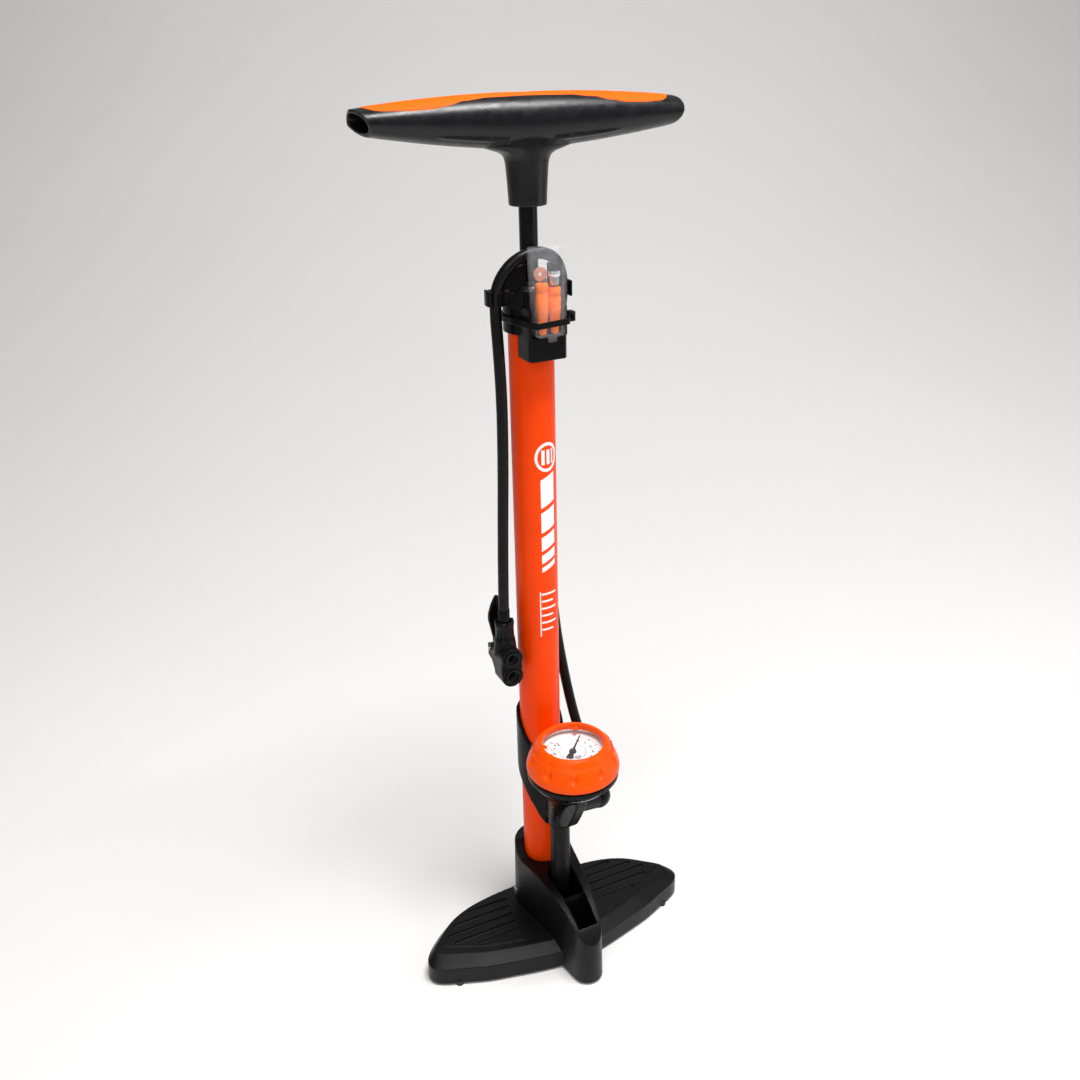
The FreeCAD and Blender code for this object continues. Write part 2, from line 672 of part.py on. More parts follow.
def outlet_outside():
    """The elbow that sends air from the housing up into the hose."""
    inlet_dir = (ELBOW - Vector(0, -50.0, 152.0)).normalize()
    inlet = cylinder(5.0, tuple(ELBOW - inlet_dir * 14.0), 14.0, inlet_dir)
    knuckle = Part.makeSphere(8.9, ELBOW)
    spout = cylinder(6.4, tuple(ELBOW), OUTLET_START, OUTLET_DIR)
    return fuse([inlet, knuckle, spout])


def outlet_elbow():
    air = cylinder(2.0, tuple(ELBOW), 40.0, OUTLET_DIR)
    return outlet_outside().cut(air)


def outlet_ferrule():
    """The crimped sleeve that holds the hose on the elbow's barb."""
    start = ELBOW + OUTLET_DIR.normalize() * OUTLET_START
    return cylinder(5.4, tuple(start), FERRULE_LENGTH, OUTLET_DIR).cut(
        cylinder(2.0, tuple(start), 40.0, OUTLET_DIR))


def gauge_can():
    inner = CAN_R - 1.0
    body = ring(CAN_R, inner, (0, GAUGE_Y, CAN_BOTTOM), CAN_TOP - CAN_BOTTOM)
    floor = cylinder(CAN_R, (0, GAUGE_Y, CAN_BOTTOM), 1.0)
    shelf = ring(inner, inner - 1.6, (0, GAUGE_Y, DIAL_Z - 1.8), 1.0)
    stem_hole = cylinder(4.0, (0, GAUGE_Y, CAN_BOTTOM - 1.0), 4.0)
    return fuse([body, floor, shelf]).cut(stem_hole)


def gauge_stem():
    """The brass block that feeds the gauge's curved tube and carries the movement."""
    return fuse([cylinder(4.0, (0, GAUGE_Y, CAN_BOTTOM - 4.0), 8.0),
                 box((-6.0, GAUGE_Y - 5.0, CAN_BOTTOM + 4.0), (6.0, GAUGE_Y + 5.0, STEM_SHOULDER)),
                 box((-3.0, GAUGE_Y - 3.0, STEM_SHOULDER), (3.0, GAUGE_Y + 3.0, STEM_TOP))])


def bourdon_tube():
    """The curved tube that straightens under pressure."""
    middle = CAN_BOTTOM + 9.0
    tube = Part.makeTorus(17.0, 2.2, Vector(0, GAUGE_Y, middle), Z_AXIS, 0, 360, 250)
    link = box((6.0, GAUGE_Y - 2.0, middle - 1.5), (16.0, GAUGE_Y + 2.0, middle + 1.5))
    return tube.fuse(link).removeSplitter()


def dial_plate():
    return ring(CAN_R - 1.0, 1.6, (0, GAUGE_Y, DIAL_Z - 0.8), 0.8)


def needle_arbor():
    return cylinder(0.7, (0, GAUGE_Y, STEM_TOP), DIAL_Z + 1.8 - STEM_TOP)


def gauge_needle():
    """A thin pointer with a broad counterweight tail."""
    blade = polygon_solid(
        [Vector(-3.0, -2.4, 0), Vector(-9.0, -2.6, 0), Vector(-9.0, 2.6, 0), Vector(-3.0, 2.4, 0),
         Vector(3.0, 0.9, 0), Vector(21.5, 0.35, 0), Vector(21.5, -0.35, 0), Vector(3.0, -0.9, 0)],
        Vector(0, 0, 0.4))
    hub = cylinder(3.0, (0, 0, -0.3), 1.2)
    needle = blade.fuse(hub).cut(cylinder(0.7 + RUNNING_GAP, (0, 0, -1.0), 3.0))
    needle.rotate(Vector(0, 0, 0), Z_AXIS, NEEDLE_ANGLE)
    needle.translate(Vector(0, GAUGE_Y, DIAL_Z + 0.8))
    return needle.removeSplitter()


def gauge_lens():
    return cylinder(CAN_R, (0, GAUGE_Y, CAN_TOP), 1.6)


def bezel():
    """The ring that turns by hand to set the target marker over the dial."""
    mid = BEZEL_BOTTOM + 7.0
    profile = [(NECK_R + 0.35, BEZEL_BOTTOM), (BEZEL_R - 0.6, BEZEL_BOTTOM),
               (BEZEL_R, BEZEL_BOTTOM + 2.0), (BEZEL_R, mid), (BEZEL_R - 1.9, mid + 5.0),
               (BEZEL_R - 5.4, mid + 12.0), (BEZEL_R - 7.6, mid + 16.6),
               (BEZEL_R - 9.4, BEZEL_TOP), (WINDOW_R + 1.2, BEZEL_TOP), (WINDOW_R, BEZEL_TOP - 1.4),
               (WINDOW_R, BEZEL_TOP - 4.6), (NECK_R + 0.35, BEZEL_TOP - 4.6)]
    shell = revolve(profile, 0, GAUGE_Y)
    scallops = []
    for step in range(10):
        angle = math.radians(36 * step)
        outward = Vector(math.cos(angle), math.sin(angle), 0)
        centre = Vector(0, GAUGE_Y, mid + 1.0) + outward * (BEZEL_R + 3.4)
        scallops.append(Part.makeSphere(5.2, centre))
    markers = [target_marker(56.0), target_marker(160.0)]
    return fuse([shell] + markers).cut(Part.makeCompound(scallops)).removeSplitter()


def target_marker(angle):
    """A small pointed tab under the bezel's lip."""
    tab = polygon_solid([Vector(WINDOW_R + 1.0, -2.4, 0), Vector(WINDOW_R - 3.6, 0, 0),
                         Vector(WINDOW_R + 1.0, 2.4, 0)], Vector(0, 0, 1.6))
    tab.rotate(Vector(0, 0, 0), Z_AXIS, angle)
    tab.translate(Vector(0, GAUGE_Y, BEZEL_TOP - 4.6))
    return tab


# ---------------------------------------------------------------- pump head

def head_body():
    """Two ports one above the other, on a block that the hose enters from above."""
    port_low_z = PORT_TOP_Z - PORT_PITCH
    ports = [cylinder(PORT_R, (HEAD_X, PORT_FACE_Y, z), 21.0, Y_AXIS)
             for z in (PORT_TOP_Z, port_low_z)]
    bridge = box((HEAD_X - PORT_R, PORT_FACE_Y + 1.2, port_low_z),
                 (HEAD_X + PORT_R, 3.0, PORT_TOP_Z))
    shoulder = Part.makeCone(9.4, 7.6, 12.0, Vector(HEAD_X, HEAD_Y, SLEEVE_Z[0] - 6.0))
    cheeks = [box((HEAD_X + side * 6.6 - 1.6, 2.0, 268.0), (HEAD_X + side * 6.6 + 1.6, 9.0, 282.0))
              for side in (-1, 1)]
    body = fuse(ports + [bridge, shoulder] + cheeks)
    cuts = [cylinder(6.2, (HEAD_X, PORT_FACE_Y - 1.0, z), 15.0, Y_AXIS)
            for z in (PORT_TOP_Z, port_low_z)]
    cuts.append(cylinder(2.0, (HEAD_X, HEAD_Y + 2.5, port_low_z), 60.0))
    cuts.append(cylinder(PIN_R, (HEAD_X - 20.0, PIVOT.y, PIVOT.z), 40.0, X_AXIS))
    cuts.append(box((HEAD_X - 5.0, 3.0, 260.0), (HEAD_X + 5.0, 12.0, 290.0)))
    cuts.append(cylinder(3.8, (HEAD_X - 5.0, PIVOT.y, PIVOT.z), 10.0, X_AXIS))
    cuts.append(head_sleeve_outside())
    return body.cut(Part.makeCompound(cuts)).removeSplitter()


def head_sleeve_outside():
    return revolve([(0, SLEEVE_Z[0] + 1.0), (6.6, SLEEVE_Z[0] + 1.0), (6.6, SLEEVE_Z[0] + 6.0),
                    (7.6, SLEEVE_Z[0] + 6.0), (7.2, SLEEVE_Z[1]), (0, SLEEVE_Z[1])],
                   HEAD_X, HEAD_Y)


def head_sleeve():
    """The tapered nut that clamps the hose on the head."""
    hose_seat = cylinder(HOSE_R + 1.4, (HEAD_X, HEAD_Y, SLEEVE_Z[1] - 4.0), 10.0)
    air = cylinder(2.0, (HEAD_X, HEAD_Y, SLEEVE_Z[0]), 40.0)
    return head_sleeve_outside().cut(Part.makeCompound([hose_seat, air]))


def head_ferrule():
    """The hose's end sleeve, seated in the nut."""
    return ring(HOSE_R + 1.4, 2.0, (HEAD_X, HEAD_Y, SLEEVE_Z[1] - 4.0), 12.0)


def port_gasket(z, bore_r):
    return ring(6.2, bore_r, (HEAD_X, PORT_FACE_Y + 1.4, z), 12.0, Y_AXIS)


def port_ring(z, bore_r):
    """The rim that keeps the gasket in its port."""
    return ring(6.2, bore_r, (HEAD_X, PORT_FACE_Y - 1.0, z), 2.4, Y_AXIS)


def head_lever():
    """The locking lever: a cam between the head's cheeks and a paddle along the hose."""
    cam = cylinder(3.4, (HEAD_X - 4.7, PIVOT.y, PIVOT.z), 9.4, X_AXIS)
    arm = box((HEAD_X - 4.0, PIVOT.y + 1.2, PIVOT.z), (HEAD_X + 4.0, PIVOT.y + 4.4, 300.0))
    outline = [Vector(HEAD_X + x, PIVOT.y + 1.2, z) for x, z in (
        (-4.0, 283.0), (4.0, 283.0), (7.4, 299.0), (6.6, 308.0), (0, 320.0), (-6.6, 308.0),
        (-7.4, 299.0))]
    paddle = polygon_solid(outline, Vector(0, 3.2, 0))
    lever = fuse([cam, arm, paddle])
    return lever.cut(cylinder(PIN_R + RUNNING_GAP, (HEAD_X - 20.0, PIVOT.y, PIVOT.z), 40.0, X_AXIS))


def lever_pin():
    return cylinder(PIN_R, (HEAD_X - 9.4, PIVOT.y, PIVOT.z), 18.8, X_AXIS)


# ---------------------------------------------------------------- hose

def hose():
    """Straight runs joined by the largest tangent arcs that fit between them."""
    points = [Vector(*p) for p in HOSE_ROUTE]
    edges = []
    radii = []
    reached = points[0]
    for before, corner, after in zip(points, points[1:], points[2:]):
        into = (corner - before).normalize()
        out_of = (after - corner).normalize()
        turn = into.getAngle(out_of)
        trim = 0.45 * min((corner - before).Length, (after - corner).Length)
        radius = trim / math.tan(turn / 2)
        radii.append(radius)
        arc_start = corner - into * trim
        arc_end = corner + out_of * trim
        inward = (out_of - into).normalize()
        middle = corner + inward * (radius / math.cos(turn / 2) - radius)
        edges += [line(reached, arc_start), arc(arc_start, middle, arc_end)]
        reached = arc_end
    edges.append(line(reached, points[-1]))
    path = Part.Wire(edges)
    section = Part.Wire(Part.makeCircle(HOSE_R, points[0], points[1] - points[0]))
    tube = path.makePipeShell([section], True, False)
    print("hose radii mm:", [round(r) for r in radii])
    print("hose length mm: %.1f, volume / (section * length): %.4f" % (
        path.Length, tube.Volume / (math.pi * HOSE_R ** 2 * path.Length)))
    return tube


NODES = {
    "foot": foot, "barrel": barrel, "manifold": manifold, "riser_tube": riser,
    "base_plug": base_plug, "base_o_ring": base_o_ring, "check_ball": check_ball,
    "check_spring": check_spring, "piston": piston, "piston_o_ring": piston_o_ring,
    "piston_rod": piston_rod, "rod_nut": rod_nut, "rod_bumper": rod_bumper,
    "handle": handle, "handle_insert": handle_insert, "handle_screw": handle_screw,
    "barrel_cap": barrel_cap, "rod_bush": rod_bush, "hose_bracket": hose_bracket,
    "cable_tie": cable_tie, "case_tub": case_tub, "case_lid": case_lid,
    "ball_needle": ball_needle, "spare_washer": spare_washer,
    "gauge_housing": gauge_housing, "clamp_screw": clamp_screw,
    "outlet_elbow": outlet_elbow, "outlet_ferrule": outlet_ferrule,
    "gauge_can": gauge_can, "gauge_stem": gauge_stem, "bourdon_tube": bourdon_tube,
    "dial_plate": dial_plate, "needle_arbor": needle_arbor, "gauge_needle": gauge_needle,
    "gauge_lens": gauge_lens, "bezel": bezel, "hose": hose, "head_body": head_body,
    "head_sleeve": head_sleeve, "head_ferrule": head_ferrule, "head_lever": head_lever,
    "lever_pin": lever_pin,
}


def main():
    os.makedirs("parts", exist_ok=True)
    shapes = {name: make() for name, make in NODES.items()}
    shapes["foot_screws"] = Part.makeCompound(foot_screw_list())
    shapes["sole_pads"] = Part.makeCompound(sole_pad_list())
    shapes["nozzle_long"] = nozzle(-4.4, 523.4, 33.5)
    shapes["nozzle_short"] = nozzle(4.6, 523.4, 30.5)
    low_port_z = PORT_TOP_Z - PORT_PITCH
    shapes["gasket_presta"] = port_gasket(PORT_TOP_Z, PRESTA_R)
    shapes["gasket_schrader"] = port_gasket(low_port_z, SCHRADER_R)
    shapes["port_rings"] = Part.makeCompound(
        [port_ring(PORT_TOP_Z, PRESTA_R + 1.0), port_ring(low_port_z, SCHRADER_R + 0.6)])
    for name, shape in shapes.items():
        solids = len(shape.Solids)
        if not shape.isValid() or solids == 0:
            print("CHECK", name, "valid", shape.isValid(), "solids", solids)
        shape.exportStep("parts/%s.step" % name)
    print(len(shapes), "nodes")


main()
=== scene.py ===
import math

import bmesh
import bpy
from mathutils import Matrix, Vector


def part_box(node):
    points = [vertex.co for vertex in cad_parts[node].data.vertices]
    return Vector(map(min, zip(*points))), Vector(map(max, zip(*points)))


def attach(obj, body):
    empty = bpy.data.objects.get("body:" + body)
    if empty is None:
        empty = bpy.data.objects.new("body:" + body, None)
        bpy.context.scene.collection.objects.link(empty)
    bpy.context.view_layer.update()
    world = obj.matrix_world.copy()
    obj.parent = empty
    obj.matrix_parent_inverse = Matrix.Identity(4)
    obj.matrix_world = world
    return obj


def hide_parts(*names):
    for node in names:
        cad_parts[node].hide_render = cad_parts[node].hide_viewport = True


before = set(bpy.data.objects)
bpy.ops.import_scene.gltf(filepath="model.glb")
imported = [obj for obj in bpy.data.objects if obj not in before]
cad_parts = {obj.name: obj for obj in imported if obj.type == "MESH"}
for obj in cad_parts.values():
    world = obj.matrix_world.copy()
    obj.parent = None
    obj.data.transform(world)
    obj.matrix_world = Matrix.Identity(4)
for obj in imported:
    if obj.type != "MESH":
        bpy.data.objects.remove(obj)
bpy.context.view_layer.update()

MM = 0.001


def box_mm(node):
    """A CAD node's lowest and highest corner, in millimetres."""
    low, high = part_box(node)
    return low / MM, high / MM


# ---------------------------------------------------------------- sizes, from the frame

BARREL_R = box_mm("barrel")[1].x
BEZEL_LOW, BEZEL_HIGH = box_mm("bezel")
BEZEL_R = BEZEL_HIGH.x
GAUGE_Y = (BEZEL_LOW.y + BEZEL_HIGH.y) / 2
GRIP_HALF = 112.0
GRIP_TURN = math.radians(-8.5)
GRIP_TOP = box_mm("handle_insert")[1].z
FOOT_LOW, FOOT_HIGH = box_mm("foot")
RISER_LOW, RISER_HIGH = box_mm("riser_tube")
RISER_R = RISER_HIGH.x
RISER_Y = (RISER_LOW.y + RISER_HIGH.y) / 2
CASE_LOW, CASE_HIGH = box_mm("case_lid")
TUB_LOW, TUB_HIGH = box_mm("case_tub")
CASE_FOOT_HALF = 10.0
SLEEVE_LOW, SLEEVE_HIGH = box_mm("head_sleeve")
HEAD_X = (SLEEVE_LOW.x + SLEEVE_HIGH.x) / 2
HEAD_Y = (SLEEVE_LOW.y + SLEEVE_HIGH.y) / 2
PORT_Z = (276.5, 261.5)
LEVER_PIN_Y, LEVER_PIN_Z = 5.0, 277.0
HOSE_R = 4.0
ELBOW = Vector((30.0, -40.0, 147.0))
OUTLET = Vector((0.0, 0.55, 0.835))
ELBOW_INLET = Vector((0.0, -50.0, 152.0))
DIAL_START, DIAL_SWEEP = 47.0, 290.0
# Each clip's side, and its distance from the middle and its depth.
CLIPS = ((-1, 28.0, -5.0), (1, 25.0, 1.0))
CAMERA_PLACE = (-0.32427, -0.67200, 0.70240)
CAMERA_YAW, CAMERA_TILT, CAMERA_ROLL = -26.0, -24.546, -1.266


# ---------------------------------------------------------------- camera

def make_camera():
    data = bpy.data.cameras.new("camera")
    data.sensor_width = 36.0
    data.lens = 36.667
    camera = bpy.data.objects.new("camera", data)
    bpy.context.scene.collection.objects.link(camera)
    yaw, pitch, roll = (math.radians(a) for a in (CAMERA_YAW, 90.0 + CAMERA_TILT, CAMERA_ROLL))
    camera.matrix_world = (
        Matrix.Translation(CAMERA_PLACE) @ Matrix.Rotation(yaw, 4, "Z")
        @ Matrix.Rotation(pitch, 4, "X") @ Matrix.Rotation(roll, 4, "Z"))
    bpy.context.scene.camera = camera


# ---------------------------------------------------------------- mesh tools (millimetres in)

def add_object(name, data):
    obj = bpy.data.objects.new(name, data)
    bpy.context.scene.collection.objects.link(obj)
    return obj


def make_mesh(name, points, faces):
    """A closed mesh with its normals outwards and coinciding points joined."""
    data = bpy.data.meshes.new(name)
    data.from_pydata([[c * MM for c in p] for p in points], [], faces)
    work = bmesh.new()
    work.from_mesh(data)
    bmesh.ops.remove_doubles(work, verts=work.verts, dist=1e-6)
    bmesh.ops.dissolve_degenerate(work, edges=work.edges, dist=1e-7)
    bmesh.ops.recalc_face_normals(work, faces=work.faces)
    work.to_mesh(data)
    work.free()
    return add_object(name, data)


def circle(x, y, z, radius, steps, depth=None):
    """A level ring of points, or an ellipse where it has a depth of its own."""
    return [(x + radius * math.cos(2 * math.pi * i / steps),
             y + (depth or radius) * math.sin(2 * math.pi * i / steps), z) for i in range(steps)]


def loft(name, rings, wrap=False):
    """A skin over rings with equal numbers of points. It has end caps unless it wraps."""
    count = len(rings[0])
    points = [p for ring in rings for p in ring]
    faces = []
    spans = len(rings) if wrap else len(rings) - 1
    for i in range(spans):
        here, there = i * count, ((i + 1) % len(rings)) * count
        for j in range(count):
            k = (j + 1) % count
            faces.append((here + j, here + k, there + k, there + j))
    if not wrap:
        faces.append(tuple(reversed(range(count))))
        faces.append(tuple(range(len(points) - count, len(points))))
    return make_mesh(name, points, faces)


def lathe(name, outline, x=0.0, y=0.0, steps=96, shape=None):
    """A closed (radius, height) outline turned about a vertical axis.

    shape(angle, radius, height), where there is one, gives each point's place in its turn."""
    rings = []
    for i in range(steps):
        a = 2 * math.pi * i / steps
        here = [shape(a, r, z) for r, z in outline] if shape else outline
        rings.append([(x + r * math.cos(a), y + r * math.sin(a), z) for r, z in here])
    return loft(name, rings, wrap=True)


def prism(name, outline, low, high):
    """A flat (x, y) outline between two heights."""
    return loft(name, [[(x, y, z) for x, y in outline] for z in (low, high)])


def side_prism(name, outline, low, high):
    """A flat (y, z) outline between two x places."""
    return loft(name, [[(x, y, z) for y, z in outline] for x in (low, high)])


def block(name, low, high):
    corners = [(low[0], low[1]), (high[0], low[1]), (high[0], high[1]), (low[0], high[1])]
    return prism(name, corners, low[2], high[2])


def rod_between(name, a, b, radius, end_radius=None, steps=48):
    """A straight round bar, or a cone, from point a to point b."""
    a, b = Vector(a), Vector(b)
    along = (b - a).normalized()
    side = along.orthogonal().normalized()
    other = along.cross(side)
    rings = []
    for centre, r in ((a, radius), (b, end_radius or radius)):
        rings.append([centre + side * r * math.cos(2 * math.pi * i / steps)
                      + other * r * math.sin(2 * math.pi * i / steps) for i in range(steps)])
    return loft(name, rings)


def rounded(outline, radius, steps=4):
    """A closed flat outline with its corners rounded off."""
    result = []
    count = len(outline)
    for i in range(count):
        before, corner, after = (Vector(outline[(i + k) % count]) for k in (-1, 0, 1))
        into, out_of = (corner - before), (after - corner)
        turn = into.angle(out_of)
        if turn < 0.05:
            result.append(tuple(corner))
            continue
        trim = min(radius * math.tan(turn / 2), into.length * 0.45, out_of.length * 0.45)
        start = corner - into.normalized() * trim
        end = corner + out_of.normalized() * trim
        for k in range(steps + 1):
            t = k / steps
            point = start * (1 - t) ** 2 + corner * 2 * t * (1 - t) + end * t * t
            result.append(tuple(point))
    return result


def smooth_line(points, steps):
    """A Catmull-Rom curve through the points."""
    padded = [points[0]] + list(points) + [points[-1]]
    vectors = [Vector(p) for p in padded]
    result = []
    for i in range(1, len(vectors) - 2):
        p0, p1, p2, p3 = vectors[i - 1:i + 3]
        for k in range(steps):
            t = k / steps
            result.append(tuple(0.5 * (
                2 * p1 + (p2 - p0) * t + (2 * p0 - 5 * p1 + 4 * p2 - p3) * t * t
                + (3 * p1 - p0 - 3 * p2 + p3) * t ** 3)))
    result.append(tuple(vectors[-2]))
    return result


def bake(obj):
    """Applies the object's modifiers."""
    graph = bpy.context.evaluated_depsgraph_get()
    data = bpy.data.meshes.new_from_object(obj.evaluated_get(graph))
    obj.modifiers.clear()
    obj.data = data
    return obj


def combine(obj, others, operation="DIFFERENCE"):
    """Adds or cuts solids, and removes them from the scene."""
    for other in others:
        modifier = obj.modifiers.new(operation, "BOOLEAN")
        modifier.operation = operation
        modifier.object = other
        modifier.solver = "EXACT"
    bake(obj)
    for other in others:
        bpy.data.objects.remove(other)
    return obj


def soften(obj, voxel, rounds):
    """Remeshes a solid finely and smooths it, which rounds its edges as a mould does."""
    remesh = obj.modifiers.new("remesh", "REMESH")
    remesh.mode = "VOXEL"
    remesh.voxel_size = voxel * MM
    smooth = obj.modifiers.new("smooth", "SMOOTH")
    smooth.factor = 0.5
    smooth.iterations = rounds
    bake(obj)
    shade_smooth(obj)
    return obj


def chamfer(obj, width, segments=3, angle=35.0):
    bevel = obj.modifiers.new("bevel", "BEVEL")
    bevel.width = width * MM
    bevel.segments = segments
    bevel.limit_method = "ANGLE"
    bevel.angle_limit = math.radians(angle)
    bevel.harden_normals = True
    bake(obj)
    shade_smooth(obj)
    return obj


def shade_smooth(obj, angle=40.0):
    """Smooth shading, with hard edges where the surface turns sharply."""
    data = obj.data
    data.polygons.foreach_set("use_smooth", [True] * len(data.polygons))
    data.set_sharp_from_angle(angle=math.radians(angle))
    return obj


def join(name, objects):
    """One object that holds several shells."""
    work = bmesh.new()
    for obj in objects:
        work.from_mesh(obj.data)
        bpy.data.objects.remove(obj)
    data = bpy.data.meshes.new(name)
    work.to_mesh(data)
    work.free()
    return add_object(name, data)


def copy_of(node, name):
    """A new mesh that starts from a CAD node's surface."""
    work = bmesh.new()
    work.from_mesh(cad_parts[node].data)
    bmesh.ops.remove_doubles(work, verts=work.verts, dist=1e-6)
    data = bpy.data.meshes.new(name)
    work.to_mesh(data)
    work.free()
    return add_object(name, data)


def finish_piece(obj, body, material, slot, *nodes):
    """Gives a piece its material, and puts it on its body in place of its CAD nodes."""
    obj.data.materials.clear()
    obj.data.materials.append(material)
    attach(obj, body)
    if nodes:
        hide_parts(*nodes)
    return obj


# ---------------------------------------------------------------- materials

def link(tree, source, output, target, socket):
    tree.links.new(source.outputs[output], target.inputs[socket])


def noise_node(tree, coordinates, scale, detail=3.0):
    node = tree.nodes.new("ShaderNodeTexNoise")
    node.inputs["Scale"].default_value = scale
    node.inputs["Detail"].default_value = detail
    link(tree, coordinates, "Object", node, "Vector")
    return node


def range_node(tree, source, output, low, high, from_low=0.3, from_high=0.7):
    node = tree.nodes.new("ShaderNodeMapRange")
    node.inputs["From Min"].default_value = from_low
    node.inputs["From Max"].default_value = from_high
    node.inputs["To Min"].default_value = low
    node.inputs["To Max"].default_value = high
    link(tree, source, output, node, "Value")
    return node


def mix_node(tree, factor, output, first, second):
    """Mixes two fixed colours, or a socket's colour with a fixed one, by a factor."""
    node = tree.nodes.new("ShaderNodeMix")
    node.data_type = "RGBA"
    link(tree, factor, output, node, 0)
    for socket, colour in ((6, first), (7, second)):
        if isinstance(colour, bpy.types.NodeSocket):
            tree.links.new(colour, node.inputs[socket])
        else:
            node.inputs[socket].default_value = (*colour, 1.0)
    return node


def surface(name, colour, roughness, metallic=0.0, grain=900.0, depth=0.05, mottle=0.12,
            spread=0.06, wear=0.0, wear_colour=(0.3, 0.3, 0.3), coat=0.0, coat_roughness=0.08,
            specular=0.5, patch=45.0):
    """A finish with fine grain, drifting tone and gloss, and paler rubbed edges."""
    material = bpy.data.materials.new(name)
    material.use_nodes = True
    tree = material.node_tree
    shader = tree.nodes["Principled BSDF"]
    shader.inputs["Metallic"].default_value = metallic
    shader.inputs["Coat Weight"].default_value = coat
    shader.inputs["Coat Roughness"].default_value = coat_roughness
    shader.inputs["Specular IOR Level"].default_value = specular
    place = tree.nodes.new("ShaderNodeTexCoord")
    patches = noise_node(tree, place, patch)
    tone = range_node(tree, patches, "Fac", 0.0, 1.0)
    darker = [c * (1 - mottle) for c in colour]
    lighter = [min(1.0, c * (1 + mottle)) for c in colour]
    body = mix_node(tree, tone, "Result", darker, lighter)
    if wear > 0:
        geometry = tree.nodes.new("ShaderNodeNewGeometry")
        edges = range_node(tree, geometry, "Pointiness", 0.0, wear, 0.53, 0.66)
        body = mix_node(tree, edges, "Result", body.outputs[2], wear_colour)
    tree.links.new(body.outputs[2], shader.inputs["Base Color"])
    gloss_noise = noise_node(tree, place, patch * 2.7)
    gloss = range_node(tree, gloss_noise, "Fac", roughness - spread, roughness + spread)
    link(tree, gloss, "Result", shader, "Roughness")
    fine = noise_node(tree, place, grain, 2.0)
    bump = tree.nodes.new("ShaderNodeBump")
    bump.inputs["Strength"].default_value = depth
    bump.inputs["Distance"].default_value = 0.0004
    link(tree, fine, "Fac", bump, "Height")
    link(tree, bump, "Normal", shader, "Normal")
    return material


def black_plastic():
    return surface("black_plastic", (0.003, 0.003, 0.0035), 0.3, grain=1500, depth=0.12, mottle=0.25,
                   spread=0.08, wear=0.25, wear_colour=(0.016, 0.016, 0.018), specular=0.13)


def grip_plastic():
    return surface("grip_plastic", (0.005, 0.005, 0.006), 0.32, grain=1300, depth=0.15, mottle=0.25,
                   spread=0.07, wear=0.3, wear_colour=(0.03, 0.03, 0.033), patch=60, specular=0.36)


def foot_plastic():
    return surface("foot_plastic", (0.0035, 0.0035, 0.004), 0.36, grain=2100, depth=0.5, mottle=0.25,
                   spread=0.07, wear=0.3, wear_colour=(0.02, 0.02, 0.022), specular=0.2)


def orange_paint():
    return surface("orange_paint", (0.98, 0.06, 0.0), 0.34, grain=420, depth=0.04, mottle=0.05,
                   spread=0.05, specular=0.12)


def orange_plastic():
    return surface("orange_plastic", (1.0, 0.085, 0.0), 0.36, grain=1200, depth=0.1, mottle=0.05,
                   spread=0.06, wear=0.25, wear_colour=(1.0, 0.16, 0.02), specular=0.14)


def nozzle_plastic():
    return surface("nozzle_plastic", (1.0, 0.17, 0.0), 0.4, grain=1200, depth=0.1, mottle=0.05,
                   spread=0.06, wear=0.25, wear_colour=(1.0, 0.25, 0.03), specular=0.14)


def orange_soft():
    return surface("orange_soft", (1.0, 0.125, 0.002), 0.55, grain=1500, depth=0.3, mottle=0.07,
                   spread=0.06, wear=0.2, wear_colour=(1.0, 0.2, 0.03), specular=0.12)


def black_rod():
    return surface("black_rod", (0.004, 0.004, 0.005), 0.22, grain=300, depth=0.03, mottle=0.3,
                   spread=0.05, specular=0.2)


def hose_rubber():
    return surface("hose_rubber", (0.0035, 0.0035, 0.004), 0.34, grain=1800, depth=0.15, mottle=0.3,
                   spread=0.1, patch=90, specular=0.18)


def rubber():
    return surface("rubber", (0.02, 0.02, 0.02), 0.75, grain=1700, depth=0.35, mottle=0.3)


def cast_alloy():
    return surface("cast_alloy", (0.55, 0.56, 0.58), 0.45, metallic=1.0, grain=900, depth=0.35,
                   mottle=0.15)


def steel():
    return surface("steel", (0.6, 0.61, 0.63), 0.3, metallic=1.0, grain=1600, depth=0.12,
                   mottle=0.12, wear=0.3, wear_colour=(0.8, 0.8, 0.8))


def chrome():
    return surface("chrome", (0.85, 0.86, 0.88), 0.12, metallic=1.0, grain=700, depth=0.03,
                   mottle=0.06, spread=0.05)


def brass():
    return surface("brass", (0.72, 0.52, 0.2), 0.32, metallic=1.0, grain=1400, depth=0.12,
                   mottle=0.15)


def dial_white():
    return surface("dial_white", (0.95, 0.95, 0.95), 0.5, grain=2600, depth=0.06, mottle=0.03)


def ink(name, colour):
    return surface(name, colour, 0.55, grain=2600, depth=0.05, mottle=0.15)


def print_white():
    return surface("print_white", (0.93, 0.93, 0.92), 0.4, grain=1800, depth=0.06, mottle=0.03,
                   specular=0.3)


def pink_plastic():
    return surface("pink_plastic", (0.6, 0.27, 0.21), 0.5, grain=1500, depth=0.15, mottle=0.12)


def guide_plastic():
    return surface("guide_plastic", (0.03, 0.03, 0.032), 0.4, grain=1600, depth=0.15, mottle=0.2,
                   wear=0.3, wear_colour=(0.1, 0.1, 0.1))


def clear(name, colour, alpha, roughness):
    """Clear plastic with a faint drift of scuffs."""
    material = surface(name, colour, roughness, grain=600, depth=0.08, mottle=0.04, spread=0.05,
                       specular=0.9)
    tree = material.node_tree
    shader = tree.nodes["Principled BSDF"]
    place = tree.nodes.new("ShaderNodeTexCoord")
    scuffs = noise_node(tree, place, 160.0, 6.0)
    cover = range_node(tree, scuffs, "Fac", alpha * 0.7, alpha * 1.5, 0.35, 0.75)
    link(tree, cover, "Result", shader, "Alpha")
    return material


